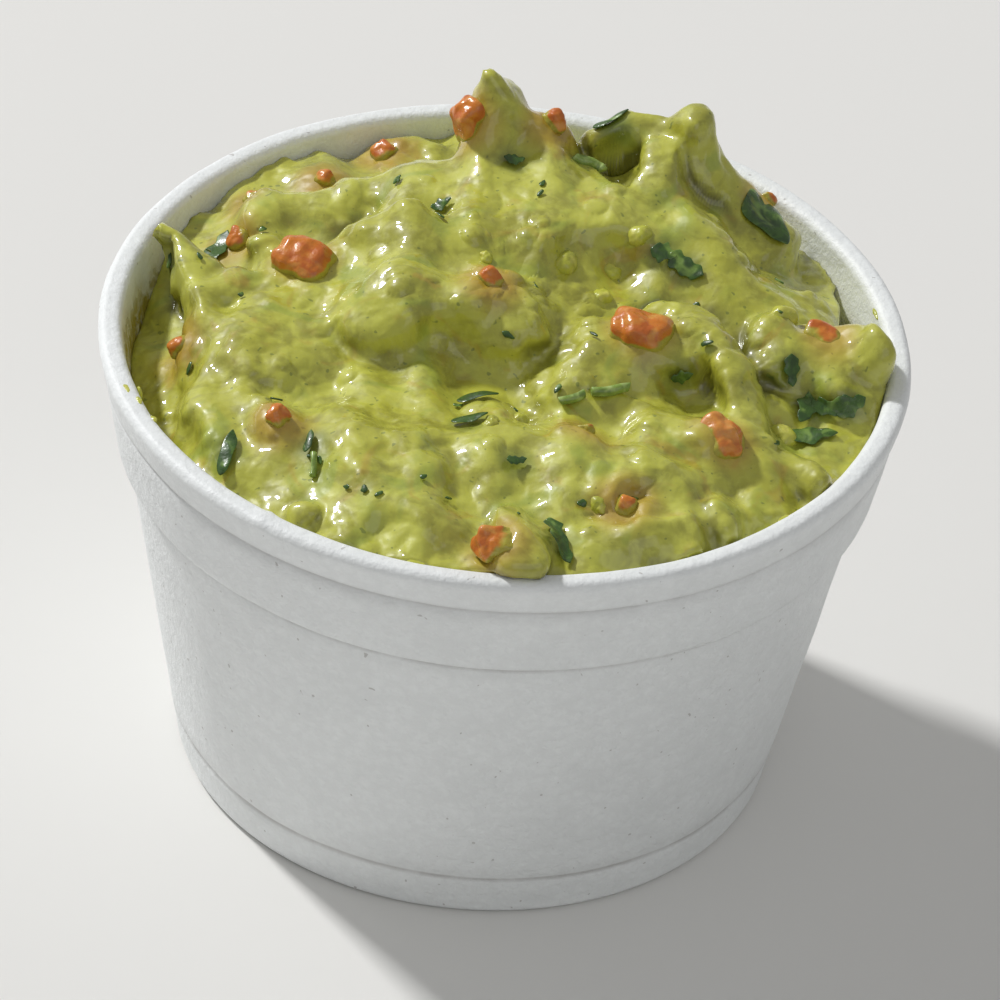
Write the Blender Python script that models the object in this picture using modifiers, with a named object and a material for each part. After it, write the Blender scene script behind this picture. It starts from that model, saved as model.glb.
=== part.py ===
"""Guacamole heaped in a squat white foam cup, with diced tomato stuck in it.

Sizes are in millimetres and become metres where a mesh is made. +Z is up, and the origin is
the centre of the cup's foot, on the surface that it stands on.
"""

import math

import bmesh
import bpy
import numpy as np
from mathutils import Euler, Matrix, Vector

MM = 0.001

# The foam cup
CUP_HEIGHT = 56.4
LIP_RADIUS = 46.0
LIP_ROUND_OUT = 1.5
LIP_ROUND_IN = 1.1
LIP_SKIRT = 3.3          # from the rim down to the end of the lip's outer face
INNER_RADIUS = 43.2      # of the wall where it meets the lip
INNER_TAPER = 0.1905     # radius lost for each millimetre down
BAND_TOP_RADIUS = 45.1
BAND_TOP_DROP = 4.5      # from the rim down to the parting line
STEP_DROP = 14.1         # from the rim down to the stacking step
STEP_RADIUS_ABOVE = 43.4
STEP_RADIUS_BELOW = 42.25
FOOT_RADIUS = 34.6
FOOT_ROUND = 1.2
FOOT_RING_INNER = 30.5
FOOT_RECESS = 1.2
FLOOR_THICKNESS = 3.3
FLOOR_FILLET = 2.5
AROUND = 72              # flats round every turned shape

# The paste
PASTE_GAP = 0.3          # clearance to the cup and to the tomato
CORE_RADIUS = 36.5       # inside it the surface is met from below, outside it from a ring
CORE_FLOOR = -8.0        # height under the middle of the surface from where it is met
RIM_SHARE = 0.30         # share of the surface's rings that fan outwards to the wall
FAN_LEAN = 8.0           # degrees
FAN_SWEEP = 84.0         # degrees
PASTE_RINGS = 36
WALL_RINGS = 4
REACH = 26.0
WAVE_LENGTH = 13.0
WAVE_HEIGHT = 0.6
WAVE_SEED = 3
WAVE_COUNT = 9
MEET_STEPS = 60
MEET_CAUTION = 0.8
MEET_NEAR = 0.02
SETTLE_ROUNDS = 3
SETTLE_SHARE = 0.35
SLOPE_STEP = 0.05

# Level of the paste at the wall, in millimetres above the rim, by degrees from +X
WALL_LEVEL = (
    (0, -3.0), (40, -4.5), (90, -4.0), (115, -2.8), (145, -2.6), (170, -8.0),
    (200, -8.5), (222, -3.6), (250, -1.6), (270, -0.6), (300, -1.6), (330, -3.0),
)
MIDDLE_LEVEL = 1.0

# Height of the ring from where the outer surface is met, by degrees from +X
RING_LEVEL = (
    (0, -1.0), (40, -4.5), (90, -4.5), (140, -5.0), (170, -8.5), (200, -9.0),
    (225, -4.5), (270, -1.0), (310, -3.5), (340, -3.5),
)

# Dollops of paste: each is a rounded bar from one ball to another.
# Each ball is (x, y, height above the rim, radius), and the last number is how softly it joins.
DOLLOPS = {
    "back mound": ((-10, 11, -2.5, 10.0), (9, 14, -2.5, 10.0), 5.0),
    "back mound top": ((-9, 21, 0, 7.0), (13, 22, 0, 7.5), 5.0),
    "right slope": ((19, 16, -2.0, 8.0), (29, 8, -5, 7.5), 5.0),
    "left mound": ((-22, 6, -5, 9.0), (-26, -8, -6, 9.0), 4.0),
    "centre crest": ((-14, 0, -0.5, 7.6), (-2, 0, 0, 7.6), 3.0),
    "peak body": ((-1.6, 28, 3.2, 6.0), (2, 27, 1.5, 6.6), 3.0),
    "peak cone": ((-4.6, 28.8, 16.2, 1.4), (-3.0, 28.5, 8.4, 4.8), 1.5),
    "peak shoulder": ((3.2, 28.6, 6.4, 3.2), (4.4, 27.5, 3, 3.6), 1.5),
    "peak foot": ((-5, 24, 4.5, 3.4), (-5.5, 17, 2.6, 4.5), 2.5),
    "knob": ((19.2, 28, 10.4, 2.8), (20.2, 27.2, 4, 3.8), 1.3),
    "knob ridge": ((8.8, 30, 7.0, 2.6), (16.0, 29.4, 7.8, 2.6), 1.4),
    "knob front": ((15.2, 26, 7.4, 2.5), (14, 20.5, 4.2, 3.4), 1.5),
    "knob lobe": ((21.5, 27.5, 4, 3.8), (28, 22.8, -1.5, 4.2), 2.5),
    "saddle": ((7, 25, 1.5, 4.6), (14, 22, 1.5, 5.0), 2.0),
    "right mound": ((12.5, -4.5, 0.3, 4.8), (20, -2, 0.5, 5.2), 2.5),
    "right ridge": ((19, 1, 3, 3.0), (26, -6, 2.2, 2.7), 1.5),
    "right ridge end": ((26, -6, 2.2, 2.7), (28, -12.5, -0.6, 2.8), 1.5),
    "right mound foot": ((8.5, -9, -1.6, 5.2), (14, -12, -2.6, 5.4), 3.0),
    "front mound": ((-14, -25, -6, 9.0), (10, -25, -6, 9.2), 5.0),
    "front right mound": ((19, -25, -5.4, 8.0), (26, -19, -4.4, 7.0), 4.0),
    "front overhang": ((3, -37, -1.8, 5.2), (3.6, -41.4, 0.9, 3.6), 2.5),
    "front left fold": ((-13, -30, -3.7, 6.5), (-7, -36, -3.2, 5.5), 2.5),
    "tomato lump": ((19.5, -18.5, -1, 5.0), (22.5, -18.5, 0.2, 4.2), 2.0),
    "front right edge": ((12.5, -36, -3.4, 4.8), (20, -33.5, -3.8, 4.8), 2.5),
    "front right lump": ((24.6, -30.5, -1.2, 3.0), (25.5, -28.5, -1.6, 3.4), 1.5),
    "right fold": ((29.5, -20, -1.8, 3.2), (30, -27, -3, 3.0), 1.5),
    "rim lobe": ((36, 0.5, -1, 4.6), (40.6, -0.5, 0.7, 3.7), 2.0),
    "rim lobe foot": ((38.5, -4.5, -2, 3.8), (37.5, -1, -2.4, 4.2), 2.0),
    "right lump": ((31, 1.5, 0.8, 3.4), (32.5, -2.5, -0.4, 3.8), 1.5),
    "low right lump": ((30.5, -9, -2.5, 3.4), (33, -8, -2.5, 3.0), 1.5),
    "small right lump": ((35, -20, -3, 2.6), (33.5, -18.5, -2.6, 2.8), 1.5),
    "left horn": ((-36.5, 6.5, -1.2, 2.8), (-40.6, 9.9, 1.6, 1.1), 1.5),
    "left flap": ((-34.5, 3, -0.8, 2.4), (-31, 4.2, -0.4, 2.8), 1.5),
    "left flap leg": ((-34.5, 1.5, -1.5, 2.8), (-31.5, -11.5, -4, 3.6), 2.0),
    "left bud": ((-27.6, 11.5, 0.5, 2.4), (-25.8, 8.5, -0.2, 2.6), 1.2),
    "back left shelf": ((-24, 27, -7, 5.5), (-12, 34, -7, 6.0), 3.0),
    "back left knob": ((-11.6, 36.8, -2.4, 2.4), (-17, 36, -3.6, 2.6), 1.5),
    "back left crest": ((-18.5, 22, 0.6, 3.6), (-13.5, 22.5, 1, 3.6), 2.0),
    "back left step": ((-28, 18, -3, 4.4), (-20, 20, -1.2, 4.6), 2.5),
    "middle crest": ((-15, 10.5, 3.2, 3.8), (-6, 10.5, 4, 4.0), 2.5),
    "front left mound": ((-26, -18, -5.6, 6.4), (-19, -21, -4.6, 6.6), 3.0),
    "front left edge": ((-32, -15, -6.2, 4.8), (-26, -27, -5.4, 4.8), 2.5),
    "rim ball": ((-20.6, -35.6, -1.4, 1.9), (-20.6, -35.4, -2.6, 2.3), 0.8),
}

# Hollows between the dollops, in the same form
HOLLOWS = {
    "central hollow": ((-8, -10.5, 6.5, 5.0), (1.5, -9.5, 5.5, 4.4), 3.0),
    "right hollow": ((8, 6, 8, 4.4), (12.5, 7.5, 7, 4.2), 2.5),
    "knob hollow": ((10.8, 25.2, 7.4, 2.3), (11.2, 24, 6.8, 2.0), 1.2),
    "back left hollow": ((-13.5, 15, 7.6, 2.4), (-9, 15, 7.8, 2.0), 1.5),
    "ridge hollow": ((21.5, -9.5, 2.2, 3.2), (17, -10.5, 2.8, 2.4), 2.0),
    "left gap": ((-42, 7, -1, 3.8), (-41.5, -9, -2, 4.4), 1.5),
    "left gap end": ((-41.5, -9, -2, 4.4), (-38, -18.5, -1.5, 3.0), 1.5),
    "front hollow": ((15.2, -31, 3, 2.6), (15, -33, 2.4, 2.0), 1.5),
    "leaf hollow": ((35.5, -9.5, 1.6, 3.0), (37.5, -15, 1.4, 3.0), 1.5),
}

# Diced tomato: (centre x, y, height above the rim), (width, depth, height), turn in degrees
TOMATO_DICE = (
    ((-23.2, 7.4, 1.6), (6.8, 5.6, 6.4), (24, 12, -24)),
    ((15.0, -3.6, 4.2), (6.8, 5.4, 4.6), (-8, 6, -14)),
    ((24.4, -19.0, 1.4), (5.0, 5.0, 5.6), (10, -24, 38)),
    ((2.6, -41.2, 2.3), (5.2, 4.2, 3.6), (24, 4, 12)),
    ((-5.0, 27.6, 10.0), (4.0, 4.6, 5.2), (8, -18, 28)),
    ((36.6, 0.4, 2.6), (6.6, 3.6, 3.8), (12, 20, -22)),
)
DICE_BEVEL = 0.9
DICE_BEVEL_SEGMENTS = 2

FOAM_WHITE = (0.87, 0.89, 0.90)
PASTE_GREEN = (0.49, 0.52, 0.10)
TOMATO_RED = (0.62, 0.17, 0.04)


def clear_scene():
    """Removes every object of the open scene."""
    for obj in list(bpy.data.objects):
        bpy.data.objects.remove(obj, do_unlink=True)


def new_collection(name):
    """A collection of that name in the scene."""
    made = bpy.data.collections.new(name)
    bpy.context.scene.collection.children.link(made)
    return made


def material(name, colour, roughness):
    """A plain finish: colour is linear, and nothing here is metal."""
    made = bpy.data.materials.new(name)
    made.use_nodes = True
    shader = made.node_tree.nodes["Principled BSDF"]
    shader.inputs["Base Color"].default_value = (*colour, 1.0)
    shader.inputs["Roughness"].default_value = roughness
    shader.inputs["Metallic"].default_value = 0.0
    return made


def add_object(name, mesh, collection, finish=None):
    """An object for that mesh; without a finish it is a cutter."""
    obj = bpy.data.objects.new(name, mesh)
    collection.objects.link(obj)
    if finish is None:
        obj.hide_render = True
        obj.display_type = "WIRE"
    else:
        mesh.materials.append(finish)
    return obj


def arc(centre, radius, start, end, steps):
    """Points on an arc, in degrees from +X towards +Z, both ends included."""
    angles = np.radians(np.linspace(start, end, steps + 1))
    return [(centre[0] + radius * math.cos(a), centre[1] + radius * math.sin(a)) for a in angles]


def inner_radius(height, grow=0.0):
    """Radius of the cup's inner wall at a height, less the growth."""
    return INNER_RADIUS - (CUP_HEIGHT - height) * INNER_TAPER - grow


def cup_profile(grow=0.0):
    """The cup's half section from the middle of its floor, over the lip and down to its foot.

    grow thickens the wall on both sides, which gives the room that the paste keeps clear of.
    """
    floor = FLOOR_THICKNESS + grow
    lip_in = (INNER_RADIUS + LIP_ROUND_IN, CUP_HEIGHT - LIP_ROUND_IN)
    lip_out = (LIP_RADIUS - LIP_ROUND_OUT, CUP_HEIGHT - LIP_ROUND_OUT)
    band_top = CUP_HEIGHT - BAND_TOP_DROP
    step = CUP_HEIGHT - STEP_DROP
    fillet = FLOOR_FILLET - grow
    points = [(0.0, floor)]
    corner = (inner_radius(floor + fillet, grow) - fillet, floor + fillet)
    points += arc(corner, fillet, -90, 0, 3)
    points += arc(lip_in, LIP_ROUND_IN + grow, 180, 90, 3)
    points += arc(lip_out, LIP_ROUND_OUT + grow, 90, 0, 4)
    points += [
        (LIP_RADIUS - 0.2 + grow, CUP_HEIGHT - LIP_SKIRT),
        (BAND_TOP_RADIUS + grow, band_top + 0.4),
        (BAND_TOP_RADIUS - 0.1 + grow, band_top),
        (STEP_RADIUS_ABOVE + grow, step + 0.6),
        (STEP_RADIUS_BELOW + grow, step - 0.6),
    ]
    foot = (FOOT_RADIUS - FOOT_ROUND, FOOT_ROUND)
    points += arc(foot, FOOT_ROUND + grow, 0, -90, 3)
    points += [
        (FOOT_RING_INNER, -grow),
        (FOOT_RING_INNER - FOOT_RECESS, FOOT_RECESS - grow),
        (0.0, FOOT_RECESS - grow),
    ]
    return points


def turned(name, profile, collection, finish=None):
    """A solid of revolution: the profile at +X, carried round the vertical axis by a Screw."""
    mesh = bpy.data.meshes.new(name)
    points = [(radius * MM, 0.0, height * MM) for radius, height in profile]
    mesh.from_pydata(points, [(i, i + 1) for i in range(len(points) - 1)], [])
    obj = add_object(name, mesh, collection, finish)
    screw = obj.modifiers.new("turn", "SCREW")
    screw.steps = AROUND
    screw.render_steps = AROUND
    screw.use_merge_vertices = True
    screw.merge_threshold = 0.00001
    screw.use_smooth_shade = True
    return obj


def by_angle(angle, levels):
    """Height at an angle in radians, eased between the levels given by degrees."""
    degrees = np.array([level[0] for level in levels], float)
    heights = np.array([level[1] for level in levels], float)
    degrees = np.concatenate([degrees - 360, degrees, degrees + 360])
    heights = np.tile(heights, 3)
    at = np.degrees(angle) % 360
    i = np.searchsorted(degrees, at, side="right") - 1
    share = (at - degrees[i]) / (degrees[i + 1] - degrees[i])
    share = share * share * (3 - 2 * share)
    return heights[i] * (1 - share) + heights[i + 1] * share


def waves(points):
    """A smooth seeded offset in x, y and z: each is a sum of sine waves in all directions."""
    rng = np.random.default_rng(WAVE_SEED)
    offset = np.zeros(points.shape)
    for axis in range(3):
        direction = rng.normal(size=(WAVE_COUNT, 3))
        direction /= np.linalg.norm(direction, axis=1, keepdims=True)
        length = WAVE_LENGTH * rng.uniform(0.75, 1.6, WAVE_COUNT)
        phase = rng.uniform(0, 2 * np.pi, WAVE_COUNT)
        turns = points @ (direction / length[:, None]).T
        offset[..., axis] = np.sin(2 * np.pi * turns + phase).sum(-1)
    return offset * WAVE_HEIGHT * math.sqrt(2 / WAVE_COUNT)


def bar_distance(points, first, last):
    """Distance to a rounded bar whose radius runs evenly from its first ball to its last."""
    start = np.array(first[:3], float)
    along = np.array(last[:3], float) - start
    share = np.clip(((points - start) @ along) / (along @ along), 0, 1)
    away = np.linalg.norm(points - start - share[..., None] * along, axis=-1)
    return away - (first[3] + (last[3] - first[3]) * share)


def soft_min(a, b, softness):
    """The smaller distance, with the crease where the two meet filled in by the softness."""
    near = np.maximum(softness - np.abs(a - b), 0) / softness
    return np.minimum(a, b) - near * near * softness / 4


def paste_distance(points):
    """About how far points are above the paste, heights being taken from the rim."""
    moved = points + waves(points)
    radius = np.hypot(moved[..., 0], moved[..., 1])
    share = np.clip(radius / INNER_RADIUS, 0, 1.1)
    angle = np.arctan2(moved[..., 1], moved[..., 0])
    level = by_angle(angle, WALL_LEVEL) * share**2.5 + MIDDLE_LEVEL * (1 - share**2)
    distance = moved[..., 2] - level
    for first, last, softness in DOLLOPS.values():
        distance = soft_min(distance, bar_distance(moved, first, last), softness)
    for first, last, softness in HOLLOWS.values():
        distance = -soft_min(-distance, bar_distance(moved, first, last), softness)
    return distance


def outer_limit(height):
    """Radius that the paste's blank keeps to: inside the wall's thickness, wider over the lip."""
    over_lip = np.clip((height + 1.5) / 1.8, 0, 1)
    return INNER_RADIUS + 1.0 + INNER_TAPER * np.minimum(height, 0) + 1.9 * over_lip


def blank_distance(points):
    """About how far points are outside the paste's blank."""
    beyond = np.hypot(points[..., 0], points[..., 1]) - outer_limit(points[..., 2])
    return np.maximum(paste_distance(points), beyond)


def paste_surface(ring, angle):
    """Points of the paste's upper surface, for ring from 0 in the middle to 1 at the wall.

    Each point is where a ray, coming in from outside, first meets the paste. The rays aim at
    a disc under the surface, and past its edge they fan out from upright to level.
    """
    inner = np.clip(ring / (1 - RIM_SHARE), 0, 1)
    outer = np.clip((ring - 1 + RIM_SHARE) / RIM_SHARE, 0, 1)
    lean = np.radians(FAN_LEAN * inner**2 + FAN_SWEEP * outer)
    radius = CORE_RADIUS * inner
    height = CORE_FLOOR + (by_angle(angle, RING_LEVEL) - CORE_FLOOR) * inner**2
    outward = np.stack([np.cos(angle), np.sin(angle)], -1)
    foot = np.concatenate([radius[..., None] * outward, height[..., None]], -1)
    way = np.concatenate([np.sin(lean)[..., None] * outward, np.cos(lean)[..., None]], -1)
    reach = np.full(ring.shape, REACH)
    for _ in range(MEET_STEPS):
        free = blank_distance(foot + reach[..., None] * way)
        reach = np.maximum(np.where(free > MEET_NEAR, reach - MEET_CAUTION * free, reach), 0)
    return foot + reach[..., None] * way


def settled(points):
    """The surface's grid of points, by ring and angle, spread evenly over steep places.

    Each round moves a point towards the middle of its four neighbours and then, along the
    slope of the distance, back onto the paste. The middle and the last ring stay.
    """
    steps = np.eye(3) * SLOPE_STEP
    for _ in range(SETTLE_ROUNDS):
        inner = points[1:-1]
        beside = np.roll(inner, 1, axis=1) + np.roll(inner, -1, axis=1)
        middle = (points[:-2] + points[2:] + beside) / 4
        moved = inner + (middle - inner) * SETTLE_SHARE
        free = blank_distance(moved)
        slope = np.stack([blank_distance(moved + step) - free for step in steps], -1) / SLOPE_STEP
        steep = np.maximum((slope**2).sum(-1), 0.25)
        back = np.clip(free / steep, -1, 1)[..., None] * slope
        points = np.concatenate([points[:1], moved - back, points[-1:]])
    return points


def paste_blank(name, collection, finish):
    """The paste before it is cut to the cup: a ball whose rings are drawn out to its surface."""
    rings = PASTE_RINGS + WALL_RINGS + 1
    mesh = bpy.data.meshes.new(name)
    ball = bmesh.new()
    bmesh.ops.create_uvsphere(ball, u_segments=AROUND, v_segments=rings, radius=1.0)
    points = np.array([vertex.co for vertex in ball.verts])
    ring = np.round(np.arccos(np.clip(points[:, 2], -1, 1)) / np.pi * rings).astype(int)
    angle = np.arctan2(points[:, 1], points[:, 0])
    column = np.round(angle / (2 * np.pi) * AROUND).astype(int) % AROUND
    every_ring, every_angle = np.meshgrid(
        np.arange(PASTE_RINGS + 1) / PASTE_RINGS,
        np.arange(AROUND) * 2 * np.pi / AROUND,
        indexing="ij",
    )
    grid = settled(paste_surface(every_ring, every_angle))
    surface = grid[np.minimum(ring, PASTE_RINGS), column]
    # Below the surface's last ring, the blank follows the inside of the wall to the floor.
    down = np.clip((ring - PASTE_RINGS) / WALL_RINGS, 0, 1)
    bottom = FLOOR_THICKNESS - 1.0 - CUP_HEIGHT
    height = surface[:, 2] * (1 - down) + bottom * down
    radius = INNER_RADIUS + 1.0 + INNER_TAPER * height
    radius = np.where(ring == rings, 0.0, radius)
    wall = np.stack([radius * np.cos(angle), radius * np.sin(angle), height], -1)
    shaped = np.where((ring > PASTE_RINGS)[:, None], wall, surface)
    shaped[:, 2] += CUP_HEIGHT
    for vertex, place in zip(ball.verts, shaped * MM):
        vertex.co = place
    bmesh.ops.recalc_face_normals(ball, faces=ball.faces)
    ball.to_mesh(mesh)
    ball.free()
    mesh.shade_smooth()
    return add_object(name, mesh, collection, finish)


def dice(name, place, size, turn, collection, finish=None, grow=0.0):
    """A block of tomato with rounded edges, or, grown, the room that it takes in the paste."""
    mesh = bpy.data.meshes.new(name)
    cube = bmesh.new()
    bmesh.ops.create_cube(cube, size=1.0)
    sides = [(side + 2 * grow) * MM for side in size]
    bmesh.ops.transform(cube, matrix=Matrix.Diagonal((*sides, 1.0)), verts=cube.verts)
    cube.to_mesh(mesh)
    cube.free()
    obj = add_object(name, mesh, collection, finish)
    obj.location = Vector((place[0], place[1], CUP_HEIGHT + place[2])) * MM
    obj.rotation_euler = Euler([math.radians(angle) for angle in turn])
    bevel = obj.modifiers.new("rounded edges", "BEVEL")
    bevel.width = (DICE_BEVEL + grow) * MM
    bevel.segments = DICE_BEVEL_SEGMENTS
    mesh.shade_smooth()
    return obj


def cut(obj, cutter):
    """Takes the cutter's shape away from the object."""
    difference = obj.modifiers.new("room for " + cutter.name, "BOOLEAN")
    difference.operation = "DIFFERENCE"
    difference.solver = "EXACT"
    difference.object = cutter


def main():
    """Builds the cup, the paste and the tomato."""
    clear_scene()
    parts = new_collection("guacamole_cup")
    cutters = new_collection("cutters")
    foam = material("expanded polystyrene foam", FOAM_WHITE, 0.55)
    avocado = material("mashed avocado", PASTE_GREEN, 0.35)
    tomato = material("tomato flesh", TOMATO_RED, 0.3)

    turned("foam_cup", cup_profile(), parts, foam)
    paste = paste_blank("guacamole", parts, avocado)
    cut(paste, turned("cup_room", cup_profile(PASTE_GAP), cutters))
    for number, (place, size, turn) in enumerate(TOMATO_DICE, 1):
        dice(f"tomato_dice_{number}", place, size, turn, parts, tomato)
        room = dice(f"dice_room_{number}", place, size, turn, cutters, grow=PASTE_GAP)
        cut(paste, room)


main()
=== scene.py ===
"""Looks of a squat white foam cup heaped with guacamole.

Lengths in this file are millimetres until a mesh is written, where they become metres.
Heights of the paste and of what sits on it are taken from the cup's rim; the cup's own
heights are taken from the surface that it stands on. +Z is up and -Y is the front.
"""

import logging
import math
from dataclasses import dataclass, field
from enum import Enum
from typing import Any, NamedTuple

import bpy
import numpy as np
from mathutils import Matrix


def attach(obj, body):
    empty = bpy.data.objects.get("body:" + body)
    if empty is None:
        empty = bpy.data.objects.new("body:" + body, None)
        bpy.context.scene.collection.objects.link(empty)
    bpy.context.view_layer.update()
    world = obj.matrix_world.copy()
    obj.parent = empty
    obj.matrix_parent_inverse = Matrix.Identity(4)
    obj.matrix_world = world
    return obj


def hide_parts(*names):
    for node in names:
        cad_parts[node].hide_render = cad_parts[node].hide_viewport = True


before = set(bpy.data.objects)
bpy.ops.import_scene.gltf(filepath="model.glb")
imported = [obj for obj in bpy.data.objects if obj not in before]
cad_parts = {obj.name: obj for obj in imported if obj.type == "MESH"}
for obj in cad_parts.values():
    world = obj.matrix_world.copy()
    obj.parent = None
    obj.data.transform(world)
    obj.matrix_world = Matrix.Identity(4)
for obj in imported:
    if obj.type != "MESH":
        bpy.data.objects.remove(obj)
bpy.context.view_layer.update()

MM = 0.001
Array = np.ndarray
log = logging.getLogger("guacamole cup")


# ---------------------------------------------------------------- meshes

def unit(vectors: Array) -> Array:
    """Vectors scaled to length 1, along the last axis."""
    return vectors / np.maximum(np.linalg.norm(vectors, axis=-1, keepdims=True), 1e-9)


def ball_faces(rings: int, columns: int) -> Array:
    """Triangles of a closed surface made of rings between two poles.

    Vertex 0 is the first pole, then come the rings one after another, then the last pole.

    Args:
        rings: number of rings.
        columns: number of vertices round each ring.

    Returns:
        Vertex numbers, three for each triangle.
    """
    column = np.arange(columns)
    after = (column + 1) % columns
    start = 1 + np.arange(rings - 1)[:, None] * columns
    a, b = start + column, start + after
    c, d = b + columns, a + columns
    last = 1 + (rings - 1) * columns
    parts = [
        np.stack([np.zeros_like(column), 1 + after, 1 + column], -1),
        np.stack([a, b, c], -1).reshape(-1, 3),
        np.stack([a, c, d], -1).reshape(-1, 3),
        np.stack([last + column, last + after, np.full_like(column, last + columns)], -1),
    ]
    return np.concatenate(parts)


class Surface:
    """Triangles and point values gathered for one piece, in millimetres."""

    def __init__(self) -> None:
        """Starts empty."""
        self.points: list[Array] = []
        self.faces: list[Array] = []
        self.values: dict[str, list[Array]] = {}
        self.count = 0

    def add_ball(self, first: Array, rings: Array, last: Array, **values: Array) -> None:
        """Adds one closed surface: a pole, rings of points, and a pole.

        Faces are turned to point outwards by the sign of the volume that they enclose.

        Args:
            first: the first pole, 3 numbers.
            rings: points by ring and column, shape (rings, columns, 3).
            last: the last pole, 3 numbers.
            values: a number for each point, in the order pole, rings, pole.
        """
        points = np.concatenate([first[None], rings.reshape(-1, 3), last[None]])
        faces = ball_faces(rings.shape[0], rings.shape[1])
        a, b, c = (points[faces[:, i]] - points.mean(0) for i in range(3))
        if np.einsum("ij,ij->i", a, np.cross(b, c)).sum() < 0:
            faces = faces[:, ::-1]
        self.points.append(points)
        self.faces.append(faces + self.count)
        self.count += len(points)
        for name, value in values.items():
            self.values.setdefault(name, []).append(np.broadcast_to(value, len(points)))

    def piece(self, name: str, finish: "Finish", slot: str, *nodes: str) -> bpy.types.Object:
        """The finished object, riding on the part's one body.

        Args:
            name: name of the piece.
            finish: what it is made of.
            slot: the record's material slot; not used.
            nodes: the CAD nodes that it stands for.

        Returns:
            The object, at the origin.
        """
        points = np.concatenate(self.points) * MM
        faces = np.concatenate(self.faces)
        mesh = bpy.data.meshes.new(name)
        mesh.vertices.add(len(points))
        mesh.vertices.foreach_set("co", points.ravel())
        mesh.loops.add(faces.size)
        mesh.loops.foreach_set("vertex_index", faces.ravel())
        mesh.polygons.add(len(faces))
        mesh.polygons.foreach_set("loop_start", np.arange(0, faces.size, 3))
        mesh.polygons.foreach_set("use_smooth", np.ones(len(faces), bool))
        mesh.update(calc_edges=True)
        for key, parts in self.values.items():
            layer = mesh.attributes.new(key, "FLOAT", "POINT")
            layer.data.foreach_set("value", np.concatenate(parts).astype(np.float32))
        mesh.materials.append(finish.material())
        obj = bpy.data.objects.new(name, mesh)
        bpy.context.scene.collection.objects.link(obj)
        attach(obj, "root")
        if nodes:
            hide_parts(*nodes)
        log.info("%s: %d triangles", name, len(faces))
        return obj


# ---------------------------------------------------------------- random shapes

@dataclass(frozen=True)
class Noise:
    """Smooth noise of about -1 to 1, whose bumps are about as large as its size."""

    seed: int
    size: float

    def __call__(self, points: Array) -> Array:
        """Gradient noise: slopes drawn for the corners of a cubic lattice, eased between them.

        Args:
            points: places, shape (..., 3).

        Returns:
            The noise at each place.
        """
        rng = np.random.default_rng(self.seed)
        order = np.tile(rng.permutation(256), 2)
        slopes = unit(rng.normal(size=(256, 3)))
        scaled = points / self.size
        cell = np.floor(scaled).astype(int)
        inside = scaled - cell
        ease = inside**3 * (inside * (inside * 6 - 15) + 10)
        cell &= 255
        total = np.zeros(points.shape[:-1])
        for corner in np.ndindex(2, 2, 2):
            at = (cell + corner) & 255
            slope = slopes[order[(order[(order[at[..., 0]] + at[..., 1]) & 255] + at[..., 2]) & 255]]
            weight = np.prod(np.where(corner, ease, 1 - ease), axis=-1)
            total += weight * ((inside - corner) * slope).sum(-1)
        return total * 1.7


def waves(points: Array, length: float, height: float, seed: int, count: int = 9) -> Array:
    """A smooth offset in x, y and z: each is a sum of seeded sine waves in all directions.

    Args:
        points: places, shape (..., 3).
        length: about the length of a wave.
        height: about the largest usual offset.
        seed: seed of the directions and phases.
        count: number of waves for each axis.

    Returns:
        Offsets, of the points' shape.
    """
    rng = np.random.default_rng(seed)
    offset = np.zeros(points.shape)
    for axis in range(3):
        direction = unit(rng.normal(size=(count, 3)))
        span = length * rng.uniform(0.75, 1.6, count)
        phase = rng.uniform(0, 2 * np.pi, count)
        offset[..., axis] = np.sin(2 * np.pi * (points @ (direction / span[:, None]).T) + phase).sum(-1)
    return offset * height * math.sqrt(2 / count)


def soft_min(a: Array, b: Array, softness: float) -> Array:
    """The smaller distance, with the crease where the two meet filled in by the softness."""
    near = np.maximum(softness - np.abs(a - b), 0) / softness
    return np.minimum(a, b) - near * near * softness / 4


def smooth_step(value: Array, low: float, high: float) -> Array:
    """0 below low and 1 above high, eased between; high may be the smaller."""
    share = np.clip((value - low) / (high - low), 0, 1)
    return share * share * (3 - 2 * share)


# ---------------------------------------------------------------- finishes

def linear(colour: str) -> tuple[float, float, float, float]:
    """An sRGB hex colour as the linear RGBA that a shader takes."""
    srgb = np.array([int(colour[i:i + 2], 16) for i in (1, 3, 5)]) / 255
    value = np.where(srgb <= 0.04045, srgb / 12.92, ((srgb + 0.055) / 1.055) ** 2.4)
    return (*map(float, value), 1.0)


def add_node(tree: bpy.types.NodeTree, kind: str, settings: dict[str, Any] | None = None,
             links: dict[Any, Any] | None = None) -> bpy.types.Node:
    """Adds a node with its settings, and with values or links for its inputs.

    Args:
        tree: the material's node tree.
        kind: the node's type name.
        settings: its properties.
        links: for each input, by name or number, a socket to link or a value to set.

    Returns:
        The node.
    """
    node = tree.nodes.new(kind)
    for name, value in (settings or {}).items():
        setattr(node, name, value)
    for name, value in (links or {}).items():
        if isinstance(value, bpy.types.NodeSocket):
            tree.links.new(value, node.inputs[name])
        else:
            node.inputs[name].default_value = value
    return node


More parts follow.
